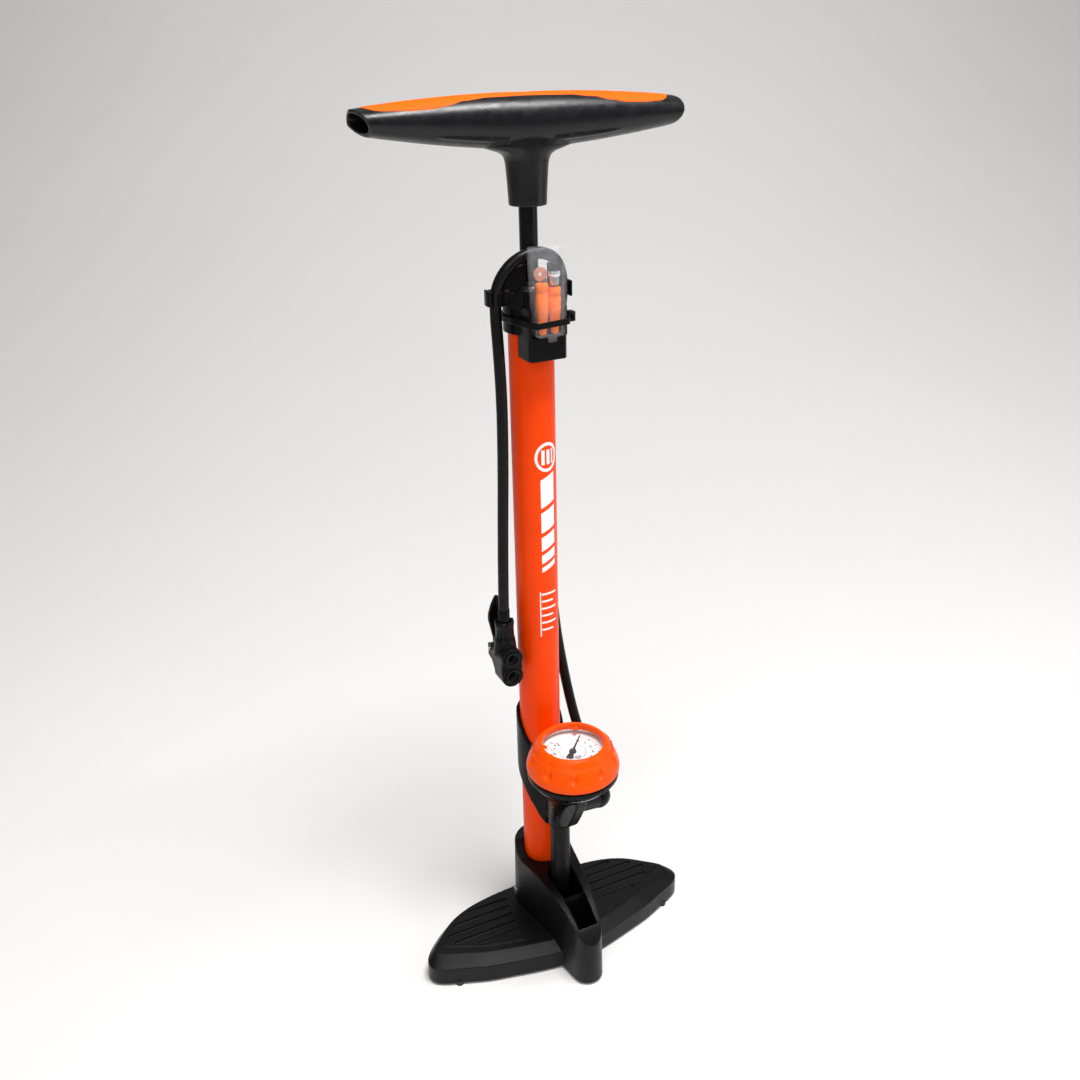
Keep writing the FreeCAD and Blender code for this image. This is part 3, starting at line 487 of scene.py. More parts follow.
# ---------------------------------------------------------------- hose

# The hose's route: out of the gauge, up behind the barrel, through the right clip, over
# in front of the rod, through the left clip and down to the pump head.
HOSE_ROUTE = [
    (30.0, -26.25, 167.88), (30.4, -17.5, 181.0), (28.6, -6.5, 198.0), (26.6, 1.5, 221.0),
    (24.8, 8.5, 246.0), (22.6, 13.0, 272.0), (20.4, 15.0, 302.0), (16.8, 18.6, 340.0),
    (15.2, 20.4, 385.0), (15.6, 20.2, 432.0), (17.8, 18.4, 470.0), (21.8, 14.0, 498.0),
    (24.5, 8.0, 518.0), (25.2, 2.2, 536.0), (24.6, -0.8, 554.0), (15.5, -8.0, 569.6),
    (-1.5, -12.6, 575.4), (-18.0, -12.0, 570.2), (-27.9, -7.6, 555.4), (-28.4, -4.8, 538.0),
    (-27.4, -5.9, 512.0), (-26.5, -6.6, 474.0), (-26.9, -5.6, 430.0), (-28.2, -4.6, 386.0),
    (-29.9, -5.1, 345.0), (HEAD_X, HEAD_Y, SLEEVE_HIGH.z + 8.0),
]


def make_hose(material):
    data = bpy.data.curves.new("hose_line", "CURVE")
    data.dimensions = "3D"
    spline = data.splines.new("NURBS")
    spline.points.add(len(HOSE_ROUTE) - 1)
    for point, place in zip(spline.points, HOSE_ROUTE):
        point.co = (*[c * MM for c in place], 1.0)
    spline.order_u = 3
    spline.use_endpoint_u = True
    spline.resolution_u = 16
    data.bevel_depth = HOSE_R * MM
    data.bevel_resolution = 10
    data.use_fill_caps = True
    hose = add_object("hose_line", data)
    return finish_piece(hose, "pump", material, "hose_rubber", "hose")


# ---------------------------------------------------------------- foot

def tread_outline(tip_inset, front_inset):
    """The edge round both treads, as flat points in order from the back's middle."""
    stops = [(-52.0, 18.0), (0.0, 21.0), (52.0, 18.0), (84.0, 9.0), (106.0, -6.5), (117.0, -21.0),
             (113.5, -33.0), (92.0, -42.8), (62.0, -52.8), (0.0, -64.0), (-62.0, -52.8)]
    half = smooth_line([inset_stop(p, tip_inset, front_inset) for p in stops], 10)[10:-10]
    return half + [(-x, y) for x, y in reversed(half[1:-1])]


def inset_stop(place, tip_inset, front_inset):
    """Moves a point of the edge inwards, more at the tips and the front."""
    x, y = place
    outwards = (x / FOOT_HIGH.x) ** 2 * (1 if x > 0 else -1)
    frontwards = min(1.0, max(0.0, (-10.0 - y) / 25.0))
    return (x - tip_inset * outwards, y + front_inset * frontwards)


def hull_outline(r_back, r_front, y_front, steps=24):
    """Two circles on the y axis, joined by their tangents."""
    lean = math.asin((r_back - r_front) / -y_front)
    points = []
    for radius, centre, start, end in (
            (r_back, 0.0, -lean, math.pi + lean),
            (r_front, y_front, math.pi + lean, 2 * math.pi - lean)):
        for i in range(steps + 1):
            a = start + (end - start) * i / steps
            points.append((radius * math.cos(a), centre + radius * math.sin(a)))
    return points


def slot_solid(x_low, x_high, y, half, floor, top, side):
    """A long cutter with round ends for one grip slot."""
    points = []
    for centre, start in ((x_high, -90), (x_low, 90)):
        for i in range(9):
            a = math.radians(start + 180 * i / 8)
            points.append((side * (centre + half * math.cos(a)), y + half * math.sin(a)))
    return prism("slot", points, floor, top)


def make_foot(material):
    sole, edge, tread = FOOT_LOW.z, 17.5, 22.5
    outline = tread_outline(0, 0)
    panel = tread_outline(8.0, 10.5)
    rings = [[(x, y, z) for x, y in ring] for ring, z in
             ((outline, sole), (outline, edge), (panel, tread))]
    body = loft("foot_moulding", rings)
    nose_y = -78.0
    hull = loft("tower", [[(x, y, z) for x, y in hull_outline(b, f, nose_y)]
                          for b, f, z in ((25.3, 12.5, sole), (23.9, 11.1, 90.0))])
    crest = smooth_line([(9.0, 83.0), (-4.0, 73.0), (-30.0, 71.4), (-58.0, 64.5),
                         (-80.0, 52.2), (-92.0, 38.0)], 8)
    side = [(30.0, 83.0)] + crest + [(-92.0, 1.0), (30.0, 1.0)]
    combine(hull, [side_prism("crest", side, -40.0, 40.0)], "INTERSECT")
    combine(body, [hull], "UNION")

    floor = 26.0
    half = 9.6
    cuts = [rod_between("bore", (0, 0, 20.0), (0, 0, 120.0), BARREL_R + 0.05, steps=96),
            rod_between("seat", (0, RISER_Y, floor), (0, RISER_Y, 120.0), half + 1.0, steps=64)]
    for y_back, y_front, low in ((RISER_Y, -52.6, floor), (-55.6, -80.0, floor),
                                 (-52.7, -55.5, 58.0)):
        wide = [half + 1.0 - 2.6 * (RISER_Y - y) / (RISER_Y + 80.0) for y in (y_back, y_front)]
        cuts.append(prism("channel", [(-wide[0], y_back), (wide[0], y_back),
                                      (wide[1], y_front), (-wide[1], y_front)], low, 120.0))
    combine(body, cuts)

    details = []
    for row, outer in enumerate((68.0, 84.0, 93.0, 90.0, 72.0)):
        y = 9.0 - 9.2 * row
        inner = 34.0 + 1.0 * row
        for sign in (-1, 1):
            details.append(slot_solid(inner, outer, y, 1.9, tread - 1.9, tread + 2.0, sign))
    line_outer = prism("line", tread_outline(14.0, 16.0), tread - 1.1, tread + 2.0)
    combine(line_outer, [prism("inside", tread_outline(15.6, 17.6), 0.0, 40.0),
                         block("middle", (-38.0, -90.0, 0.0), (38.0, 60.0, 60.0))])
    details.append(line_outer)
    for x_low, x_high, y_low, y_high in ((33.0, 58.0, -47.0, 12.0), (61.0, 84.0, -42.0, 4.0),
                                         (87.0, 102.0, -32.0, -12.0)):
        details.append(block("pocket", (x_low, y_low, 0.0), (x_high, y_high, edge - 3.0)))
        details.append(block("pocket", (-x_high, y_low, 0.0), (-x_low, y_high, edge - 3.0)))
    for sign in (-1, 1):
        details.append(rod_between("screw_seat", (sign * 21.0, 6.0, 31.0), (sign * 30.0, 6.0, 31.0),
                                   3.4))
    combine(body, details)
    soften(body, 0.5, 4)
    return finish_piece(body, "pump", material, "foot_plastic", "foot")


# ---------------------------------------------------------------- handle

GRIP_MID = GRIP_TOP - 17.0
END_SKEW = 0.42
GRIP_CUTS = {-1: [(113.0, 676.0), (111.8, 664.0), (102.0, 646.0), (94.0, 620.0)],
             1: [(101.5, 676.0), (100.2, 664.0), (97.0, 646.0), (92.0, 620.0)]}


def grip_shape(x, inset=0.0):
    """Half height, half depth and middle height of the grip at x."""
    t = min(1.0, abs(x) / GRIP_HALF)
    return (17.0 - 9.6 * t ** 1.7 - inset, 17.0 - 4.5 * t ** 2 - inset, GRIP_MID + 3.6 * t)


def grip_ring(x, inset=0.0, steps=72):
    half_height, half_depth, middle = grip_shape(x, inset)
    ring = []
    for i in range(steps):
        a = 2 * math.pi * i / steps
        ring.append((x, -half_depth * math.sin(a), middle + half_height * math.cos(a)))
    return ring


def seam_height(x):
    """How high the front seam between the grip and its soft insert runs at x."""
    stops = [(0.0, 669.7), (26.0, 669.3), (42.0, 667.8), (54.0, 665.2), (64.0, 663.6),
             (76.0, 663.2), (90.0, 663.6), (105.0, 664.6)]
    x = abs(x)
    for (x0, z0), (x1, z1) in zip(stops, stops[1:]):
        if x <= x1:
            t = (x - x0) / (x1 - x0)
            return z0 + (z1 - z0) * t * t * (3 - 2 * t)
    return stops[-1][1]


def make_insert(material):
    """A soft strip let into the grip's top, proud by a hair, with rounded edges."""
    left, right = -105.0, 96.0
    stations = 150
    across = 28
    proud, buried = 0.35, -1.6
    rings = []
    for i in range(stations + 1):
        x = left + (right - left) * i / stations
        half_height, half_depth, middle = grip_shape(x)
        reach = math.acos(max(-1.0, min(1.0, (seam_height(x) - middle) / half_height)))
        run_out = max(0.0, 1 - min(x - left, right - x) / 9.0)
        reach *= math.sqrt(max(0.004, 1 - run_out ** 2))
        top, under = [], []
        for k in range(across + 1):
            u = 2 * k / across - 1
            a = reach * u
            edge = min(1.0, (1 - abs(u)) * reach * half_depth / 1.1)
            lift = -0.5 + (proud + 0.5) * math.sin(edge * math.pi / 2)
            for line, offset in ((top, lift), (under, buried)):
                line.append((x, -(half_depth + offset) * math.sin(a),
                             middle + (half_height + offset) * math.cos(a)))
        rings.append(top + list(reversed(under)))
    insert = loft("grip_insert", rings)
    insert.data.transform(Matrix.Rotation(GRIP_TURN, 4, "Z"))
    shade_smooth(insert, 60)
    return finish_piece(insert, "plunger", material, "orange_soft", "handle_insert")


def make_grip(material):
    stations = 97
    xs = [GRIP_HALF * math.sin(math.pi * (i / (stations - 1) - 0.5)) for i in range(stations)]
    body = loft("grip", [grip_ring(x) for x in xs])
    stem_rings = []
    for z, half_x, half_y in ((603.0, 12.6, 12.6), (610.0, 12.9, 12.8), (620.0, 13.5, 13.3),
                              (628.0, 14.1, 13.9), (632.0, 14.8, 14.2), (634.6, 16.4, 14.5),
                              (636.4, 19.6, 14.7), (638.0, 25.0, 14.8), (640.0, 31.0, 14.9),
                              (650.0, 26.0, 14.6), (660.0, 8.0, 6.0)):
        stem_rings.append(circle(0, 0, z, half_x, 64, half_y))
    solids = [loft("stem", stem_rings)]
    for sign in (-1, 1):
        ledge = []
        for k in range(13):
            x = 15.0 + 47.0 * k / 12
            half_height, half_depth, middle = grip_shape(x)
            a = math.radians(128.0)
            y = -half_depth * math.sin(a)
            z = middle + half_height * math.cos(a)
            swell = 1.9 * math.sqrt(max(0.02, 1 - (k / 12) ** 4))
            ledge.append([(sign * x, y + swell * math.cos(2 * math.pi * i / 12),
                           z + swell * 0.8 * math.sin(2 * math.pi * i / 12)) for i in range(12)])
        solids.append(loft("ledge", ledge))
    combine(body, solids, "UNION")

    cuts = [rod_between("rod_gap", (0, 0, 590.0), (0, 0, 640.0), 6.7, steps=64)]
    for sign in (-1, 1):
        cuts.append(loft("hollow", [grip_ring(sign * x, 2.4, 48)
                                    for x in (84.0, 96.0, 104.0, 112.0, 120.0)]))
        corners = [(140.0, 676.0), *GRIP_CUTS[sign], (140.0, 620.0)]
        wedge = [[(sign * x - END_SKEW * y, y, z) for x, z in corners] for y in (-40.0, 40.0)]
        cuts.append(loft("wedge", wedge))
    combine(body, cuts)
    soften(body, 0.62, 5)
    body.data.transform(Matrix.Rotation(GRIP_TURN, 4, "Z"))
    return finish_piece(body, "plunger", material, "black_plastic", "handle")


# ---------------------------------------------------------------- gauge

def make_bezel(material):
    """A dome with a ring of teardrop thumb dimples, and two target markers."""
    low, top = BEZEL_LOW.z, BEZEL_HIGH.z
    window = 23.4
    flank = [(BEZEL_R - 2.4, low), (BEZEL_R - 1.2, low + 0.3), (BEZEL_R - 0.3, low + 1.7),
             (BEZEL_R, low + 3.6), (BEZEL_R - 0.4, low + 6.4), (BEZEL_R - 1.9, low + 11.0),
             (BEZEL_R - 4.4, low + 16.2), (BEZEL_R - 6.8, low + 20.2), (BEZEL_R - 8.4, top - 1.5),
             (BEZEL_R - 9.8, top - 0.3), (BEZEL_R - 10.8, top), (window + 0.7, top),
             (window + 0.1, top - 0.5), (window, top - 1.4)]
    inside = [(window, top - 5.2), (30.7, top - 5.2), (30.7, low)]
    dimples = 10

    def dimpled(a, r, z):
        nearest = (a - math.radians(9.0)) % (2 * math.pi / dimples) - math.pi / dimples
        rise = (z - (low + 12.2)) / 8.8
        width = 4.2 * (1 - 0.5 * max(0.0, rise))
        away = math.hypot(nearest * BEZEL_R / max(width, 0.8), rise if rise > 0 else 2.3 * rise)
        depth = 2.6 * (1 - 0.75 * max(0.0, rise))
        sink = depth * max(0.0, 1 - away ** 2) ** 0.6 if r > window + 4.0 else 0.0
        return (r - sink, z - 0.25 * sink)

    dome = lathe("marker_ring", smooth_line(flank, 6) + inside, 0.0, GAUGE_Y, 480, dimpled)
    tabs = []
    for angle in (56.0, 160.0):
        a = math.radians(angle)
        outward = Vector((math.cos(a), math.sin(a)))
        across = Vector((-outward.y, outward.x))
        flat = [outward * (window + 1.5) - across * 2.4, outward * (window - 1.6) - across * 1.9,
                outward * (window - 3.8), outward * (window - 1.6) + across * 1.9,
                outward * (window + 1.5) + across * 2.4]
        tab = prism("tab", [(p.x, GAUGE_Y + p.y) for p in flat], top - 4.4, top - 2.4)
        tabs.append(chamfer(tab, 0.4, 2))
    piece = join("marker_ring", [dome] + tabs)
    shade_smooth(piece, 50)
    return finish_piece(piece, "bezel", material, "orange_plastic", "bezel")


def make_housing(material):
    """The oblique funnel under the gauge, with its clamp round the barrel."""
    flange_top = BEZEL_LOW.z - 0.4
    rim = flange_top - 3.6
    bowl_rings = [(RISER_Y, 9.3, 122.5), (RISER_Y - 0.4, 9.5, 131.0), (RISER_Y - 3.0, 10.6, 142.0),
                  (RISER_Y - 9.5, 14.5, 157.0), (RISER_Y - 17.0, 22.5, 170.0),
                  (RISER_Y - 21.5, 29.5, 180.0), (GAUGE_Y, 33.4, rim)]
    body = loft("gauge_bowl", [circle(0, y, z, r, 72) for y, r, z in smooth_line(bowl_rings, 4)])
    keel = smooth_line([(RISER_Y, 123.5), (-43.0, 126.5), (-54.0, 134.5), (-58.8, 141.5),
                        (-64.0, 151.0), (-70.0, 164.0), (-73.0, 178.0)], 4)
    ribs = [rod_between("flange", (0, GAUGE_Y, rim - 0.4), (0, GAUGE_Y, flange_top), BEZEL_R - 0.7,
                        steps=120),
            rod_between("neck", (0, GAUGE_Y, rim), (0, GAUGE_Y, flange_top + 12.0), 30.3, steps=96),
            chamfer(side_prism("keel", keel + [(RISER_Y, 178.0)], -4.6, 4.6), 3.4, 4, 60),
            side_prism("fin", [(-14.0, 122.0), (RISER_Y, 122.0), (RISER_Y, rim), (-14.0, rim)],
                       -6.0, 6.0),
            rod_between("boss", (4.0, -48.0, 152.0), (26.0, -41.0, 144.5), 8.8, 9.3)]
    combine(body, ribs, "UNION")

    collar = rod_between("collar", (0, 0, 90.0), (0, 0, 240.0), 19.0, steps=96)
    profile = smooth_line([(21.0, 217.0), (6.0, 212.0), (-4.0, 200.0), (-9.0, 192.0), (-13.0, 188.6),
                           (-21.0, 187.0)], 6)
    profile += smooth_line([(-21.0, 104.0), (-17.5, 115.0), (-13.5, 129.0), (-7.0, 143.0),
                            (0.0, 153.0), (21.0, 178.0)], 6)
    combine(collar, [side_prism("region", profile, -40.0, 40.0)], "INTERSECT")
    lugs = [block("lug", (min(a, b), 17.0, 200.0), (max(a, b), 24.8, 211.0))
            for a, b in ((-6.5, -1.5), (1.5, 6.5))]
    combine(body, [collar] + lugs, "UNION")
    cuts = [rod_between("bore", (0, 0, 60.0), (0, 0, 260.0), BARREL_R, steps=96),
            block("slit", (-1.5, 8.0, 90.0), (1.5, 40.0, 240.0)),
            rod_between("well", (0, GAUGE_Y, rim - 13.0), (0, GAUGE_Y, 240.0), 27.5, steps=96),
            rod_between("riser", (0, RISER_Y, 100.0), (0, RISER_Y, 141.0), RISER_R, steps=64)]
    combine(body, cuts)
    soften(body, 0.6, 5)
    return finish_piece(body, "pump", material, "black_plastic", "gauge_housing")


def dial_place(radius, angle):
    """A place on the dial. The scale starts at the needle and runs clockwise."""
    a = math.radians(angle)
    return Vector((radius * math.cos(a), GAUGE_Y + radius * math.sin(a)))


def dial_tick(angle, r_low, r_high, half, z):
    inner, outer = dial_place(r_low, angle), dial_place(r_high, angle)
    across = Vector((-(outer - inner).y, (outer - inner).x)).normalized() * half
    flat = [inner - across, outer - across, outer + across, inner + across]
    return prism("tick", [tuple(p) for p in flat], z, z + 0.12)


def dial_number(text, centre, size, z, weight=0.12):
    """A generic number as a thin raised print."""
    data = bpy.data.curves.new("number", "FONT")
    data.body = text
    data.size = size * MM
    data.align_x = "CENTER"
    data.align_y = "CENTER"
    data.extrude = 0.05 * MM
    data.offset = weight * MM
    data.resolution_u = 3
    source = add_object("number", data)
    source.matrix_world = Matrix.Translation((centre.x * MM, centre.y * MM, (z + 0.06) * MM))
    bpy.context.view_layer.update()
    graph = bpy.context.evaluated_depsgraph_get()
    mesh = bpy.data.meshes.new_from_object(source.evaluated_get(graph))
    mesh.transform(source.matrix_world)
    bpy.data.objects.remove(source)
    return add_object("number", mesh)


def dial_colour(share):
    """The ink of the scale at a share of its sweep."""
    return "grey" if share < 0.68 else "red" if share < 0.93 else "black"


def make_dial(white, grey, red, black):
    """A white plate with a ring of ticks and generic numbers."""
    top = box_mm("dial_plate")[1].z
    plate = lathe("dial_face", rounded([(1.6, top - 0.8), (26.4, top - 0.8), (26.4, top), (1.6, top)],
                                       0.15, 2), 0, GAUGE_Y, 128)
    shade_smooth(plate)
    finish_piece(plate, "pump", white, "dial_white", "dial_plate")
    marks = {"grey": [], "red": [], "black": []}
    for i in range(61):
        share = i / 60
        colour = dial_colour(share)
        long_tick = i % 5 == 0
        marks[colour].append(dial_tick(DIAL_START - DIAL_SWEEP * share, 18.4 if long_tick else 20.0, 21.6,
                                       0.32 if long_tick else 0.16, top))
    for i in range(13):
        share = i / 12
        colour = dial_colour(share)
        place = dial_place(15.2, DIAL_START - DIAL_SWEEP * share)
        marks[colour].append(dial_number(str(i), place, 5.0 if colour != "grey" else 4.0, top))
    for i in range(41):
        marks["black"].append(dial_tick(DIAL_START - DIAL_SWEEP * i / 40, 9.4, 10.8, 0.14, top))
    for row in range(3):
        half = 3.4 - 0.7 * row
        y = GAUGE_Y - 6.9 - 1.3 * row
        marks["black"].append(block("bar", (-half, y, top), (half, y + 0.6, top + 0.12)))
    for name, material in (("grey", grey), ("red", red), ("black", black)):
        piece = join("dial_marks_" + name, marks[name])
        finish_piece(piece, "pump", material, "needle_black")


def make_needle(material):
    """A thin pointer with a broad fan-shaped tail."""
    low = box_mm("gauge_needle")[0].z + 0.3
    flat = [(-2.4, -1.5), (-8.8, -2.9), (-9.6, 0.0), (-8.8, 2.9), (-2.4, 1.5), (2.4, 0.8), (21.4, 0.3),
            (21.4, -0.3), (2.4, -0.8)]
    blade = prism("gauge_pointer", flat, low, low + 0.4)
    hub = rod_between("hub", (0, 0, low - 0.3), (0, 0, low + 0.9), 2.9, 2.5)
    combine(blade, [hub], "UNION")
    combine(blade, [rod_between("arbor", (0, 0, low - 2.0), (0, 0, low + 3.0), 0.78, steps=24)])
    blade.data.transform(Matrix.Translation((0, GAUGE_Y * MM, 0))
                         @ Matrix.Rotation(math.radians(DIAL_START), 4, "Z"))
    shade_smooth(blade, 30)
    return finish_piece(blade, "needle", material, "needle_black", "gauge_needle")


def ball(name, centre, radius):
    outline = [(radius * math.sin(math.pi * i / 24), centre.z - radius * math.cos(math.pi * i / 24))
               for i in range(25)]
    return lathe(name, outline, centre.x, centre.y, 48)


def make_elbow(material):
    """The rounded lobe that turns the air up into the hose."""
    inlet_start = ELBOW + (ELBOW_INLET - ELBOW).normalized() * 14.0
    knuckle = ELBOW + Vector((1.0, 0.4, -3.2))
    piece = rod_between("hose_elbow", inlet_start, ELBOW, 5.0)
    combine(piece, [ball("knuckle", knuckle, 10.4),
                    rod_between("spout", ELBOW, ELBOW + OUTLET * 16.0, 7.6, 6.4)], "UNION")
    combine(piece, [rod_between("air", ELBOW, ELBOW + OUTLET * 30.0, 2.0)])
    soften(piece, 0.5, 6)
    return finish_piece(piece, "pump", material, "black_plastic", "outlet_elbow")


def make_outlet_ferrule(material):
    """A crimped sleeve with two pressed waists."""
    start = ELBOW + OUTLET * 16.0
    outline = [(2.2, -0.5), (5.4, -0.5), (5.4, 1.2), (5.0, 1.8), (5.0, 3.0), (5.4, 3.6), (5.4, 4.8),
               (5.0, 5.4), (5.0, 6.6), (5.4, 7.2), (5.4, 8.6), (4.9, 9.4), (2.2, 9.4)]
    piece = lathe("hose_ferrule", outline, steps=64)
    turn = Vector((0, 0, 1)).rotation_difference(OUTLET).to_matrix().to_4x4()
    piece.data.transform(Matrix.Translation(start * MM) @ turn)
    shade_smooth(piece)
    return finish_piece(piece, "pump", material, "black_plastic", "outlet_ferrule")


# ---------------------------------------------------------------- barrel

def barrel_patch(name, corners, columns):
    """A thin printed quadrilateral wrapped on the barrel. Corners are (arc, height), in turn."""
    centre = math.radians(-80.0)
    a, b, c, d = (Vector(p) for p in corners)
    rings = []
    for j in range(columns + 1):
        edge = [a.lerp(b, j / columns), d.lerp(c, j / columns)]
        ring = []
        for radius, flat in ((BARREL_R - 0.03, edge[0]), (BARREL_R + 0.07, edge[0]),
                             (BARREL_R + 0.07, edge[1]), (BARREL_R - 0.03, edge[1])):
            turn = centre + flat.x / BARREL_R
            ring.append((radius * math.cos(turn), radius * math.sin(turn), flat.y))
        rings.append(ring)
    return loft(name, rings)


def make_barrel_print(material):
    """A plain graphic: a ring with a bar across it, slanted blocks and thin lines."""
    parts = []
    ring_z, outer, inner = 432.0, 9.6, 7.6
    for i in range(24):
        a0, a1 = (2 * math.pi * k / 24 for k in (i, i + 1))
        corners = [(r * math.cos(a), ring_z + 1.15 * r * math.sin(a))
                   for r, a in ((inner, a0), (outer, a0), (outer, a1), (inner, a1))]
        parts.append(barrel_patch("ring", corners, 1))
    for low, high in ((-4.6, -2.0), (-0.4, 2.2), (3.8, 5.2)):
        parts.append(barrel_patch("bar", [(low, ring_z - 5.5), (high, ring_z - 5.5),
                                          (high, ring_z + 5.5), (low, ring_z + 5.5)], 3))
    top = 415.0
    slant = 5.0
    for height, gap in ((22.0, 3.6), (16.0, 3.4), (11.0, 3.2), (7.0, 3.0), (4.0, 3.0)):
        parts.append(barrel_patch("block", [(-5.6, top - height), (6.2, top - height + slant),
                                            (6.2, top + slant), (-5.6, top)], 8))
        top -= height + gap
    for index in range(6):
        low = 323.0 - 6.0 * index
        reach = 6.4 if index % 2 == 0 else 3.2
        parts.append(barrel_patch("line", [(-6.6, low), (reach, low), (reach, low + 1.5),
                                           (-6.6, low + 1.5)], 8))
    parts.append(barrel_patch("edge", [(-7.9, 288.0), (-7.1, 288.0), (-7.1, 326.0),
                                       (-7.9, 326.0)], 1))
    piece = join("barrel_print", parts)
    shade_smooth(piece)
    return finish_piece(piece, "pump", material, "dial_white")


# ---------------------------------------------------------------- top fittings

def make_bracket(material):
    """The moulded ring, arms and tray, with a web under each side of the hose's arch."""
    piece = copy_of("hose_bracket", "hose_holder")
    webs = []
    arm_top, crown = 550.0, 16.8
    for sign, clip_x, clip_y in CLIPS:
        reach = clip_x - 4.6
        columns = []
        for k in range(17):
            t = k / 16
            x = 8.0 + (reach - 8.0) * t
            y = -11.0 + (clip_y - 3.0 + 11.0) * t
            z = arm_top + 1.6 + crown * math.sqrt(max(0.0, 1 - (x / (reach + 0.2)) ** 2))
            columns.append([(sign * x, y - 1.2, arm_top), (sign * x, y + 1.2, arm_top),
                            (sign * x, y + 1.2, z), (sign * x, y - 1.2, z)])
        webs.append(loft("web", columns))
        lip_x = sorted((sign * (clip_x + 4.2), sign * (clip_x + 5.6)))
        webs.append(block("lip", (lip_x[0], clip_y - 5.0, 540.6), (lip_x[1], clip_y + 5.6, 551.4)))
    combine(piece, webs, "UNION")
    soften(piece, 0.42, 4)
    return finish_piece(piece, "pump", material, "black_plastic", "hose_bracket")


def case_ring(inset, y, corner, z_low, z_high):
    """The case's rounded outline in the plane at y."""
    low, high = CASE_FOOT_HALF - inset, CASE_HIGH.x - inset
    flat = rounded([(-low, z_low + inset), (low, z_low + inset), (high, z_high - inset),
                    (-high, z_high - inset)], corner, 5)
    return [(x, y, z) for x, z in flat]


def make_case(material):
    """A thin clear tub with a deeper lid, a rim where they meet and a latch tab."""
    z_low, z_high = TUB_LOW.z, CASE_HIGH.z
    back, front = TUB_HIGH.y, CASE_LOW.y
    split = back - 8.5

    def ring(inset, y, corner):
        return case_ring(inset, y, corner, z_low, z_high)

    tub = loft("case_back", [ring(0.5, back, 1.6), ring(0.0, back - 0.6, 2.0),
                             ring(0.0, split + 1.4, 2.0), ring(0.0, split, 2.0),
                             ring(1.0, split, 1.6), ring(1.0, back - 1.1, 1.6)])
    shade_smooth(tub)
    finish_piece(tub, "pump", material, "clear_plastic", "case_tub")
    shell = loft("case_front", [ring(1.1, split - 0.1, 1.6), ring(0.0, split - 0.1, 2.0),
                                ring(0.0, front + 1.0, 2.0), ring(0.3, front + 0.3, 1.8),
                                ring(1.0, front, 1.6), ring(3.0, front, 1.2),
                                ring(3.3, front + 0.35, 1.2)])
    combine(shell, [loft("cavity", [ring(1.1, split + 1.0, 1.4), ring(1.1, front + 1.1, 1.4)])])
    latch = chamfer(block("latch", (-3.2, front + 0.2, z_low - 3.0), (3.2, front + 1.6, z_low + 0.6)),
                    0.6)
    piece = join("case_front", [shell, latch])
    shade_smooth(piece)
    return finish_piece(piece, "pump", material, "clear_plastic", "case_lid")


def make_nozzles(material):
    """Two tapered plastic nozzles with ribbed collars."""
    for node, name in (("nozzle_long", "taper_long"), ("nozzle_short", "taper_short")):
        low, high = box_mm(node)
        x, y = (low.x + high.x) / 2, (low.y + high.y) / 2
        length = high.z - low.z
        waist = low.z + length * 0.45
        outline = [(1.2, low.z), (2.1, low.z), (2.5, low.z + 0.5), (3.3, low.z + length * 0.25),
                   (4.1, waist), (4.2, waist + 0.6), (4.2, high.z - 6.4), (3.9, high.z - 6.0),
                   (3.9, high.z - 5.2), (4.2, high.z - 4.8), (4.2, high.z - 0.5), (3.8, high.z),
                   (1.2, high.z)]
        piece = lathe(name, outline, x, y, 48)
        shade_smooth(piece)
        finish_piece(piece, "pump", material, "orange_plastic", node)


def make_needle_base(material):
    """The ball needle's base, with a knurled band."""
    low, high = box_mm("ball_needle")
    x, y = (low.x + high.x) / 2, (low.y + high.y) / 2
    outline = [(0.7, low.z), (2.9, low.z), (3.2, low.z + 0.4), (3.2, low.z + 5.2),
               (3.8, low.z + 5.6), (4.0, low.z + 6.0), (4.0, high.z - 0.5), (3.6, high.z),
               (0.7, high.z)]

    def knurled(a, r, z):
        groove = round(96 * a / (2 * math.pi)) % 4 < 2
        return (r - 0.16 if groove and r > 3.7 else r, z)

    piece = lathe("ball_needle_base", outline, x, y, 96, knurled)
    shade_smooth(piece, 30)
    return finish_piece(piece, "pump", material, "chrome", "ball_needle")


def make_tie(material):
    """A nylon strap pulled tight, rising a little to its lock on the right."""
    z_mid = 531.5
    round_r, front_y = 19.5, -2.0
    dip = math.asin(-front_y / round_r)
    outline = []
    for i in range(40):
        a = math.pi + dip - (math.pi + 2 * dip) * i / 40
        outline.append((round_r * math.cos(a), round_r * math.sin(a)))
    outline += rounded([(19.4, front_y), (14.4, -28.0), (11.0, -34.6), (-11.0, -34.6),
                        (-14.4, -28.0), (-19.4, front_y)], 1.6, 4)[5:-5]
    rings = []
    count = len(outline)
    for i in range(count):
        before, here, after = (Vector(outline[(i + k) % count]) for k in (-1, 0, 1))
        along = (after - before).normalized()
        outward = Vector((along.y, -along.x)) * (-1 if along.cross(here) > 0 else 1)
        if outward.dot(here) < 0:
            outward = -outward
        z = z_mid + 0.05 * here.x
        ring = []
        for out, up in ((-0.1, -1.9), (1.0, -2.1), (1.25, -1.8), (1.25, 1.8), (1.0, 2.1), (-0.1, 1.9)):
            ring.append((here.x + outward.x * out, here.y + outward.y * out, z + up))
        rings.append(ring)
    band = loft("tie_band", rings, wrap=True)
    head = chamfer(block("tie_head", (16.0, -26.0, z_mid - 2.6), (21.2, -19.6, z_mid + 4.2)), 0.7)
    tail = chamfer(block("tie_tail", (17.6, -29.4, z_mid - 0.8), (18.9, -25.6, z_mid + 2.4)), 0.3)
    piece = join("strap", [band, head, tail])
    shade_smooth(piece)
    return finish_piece(piece, "pump", material, "black_plastic", "cable_tie")


# ---------------------------------------------------------------- pump head

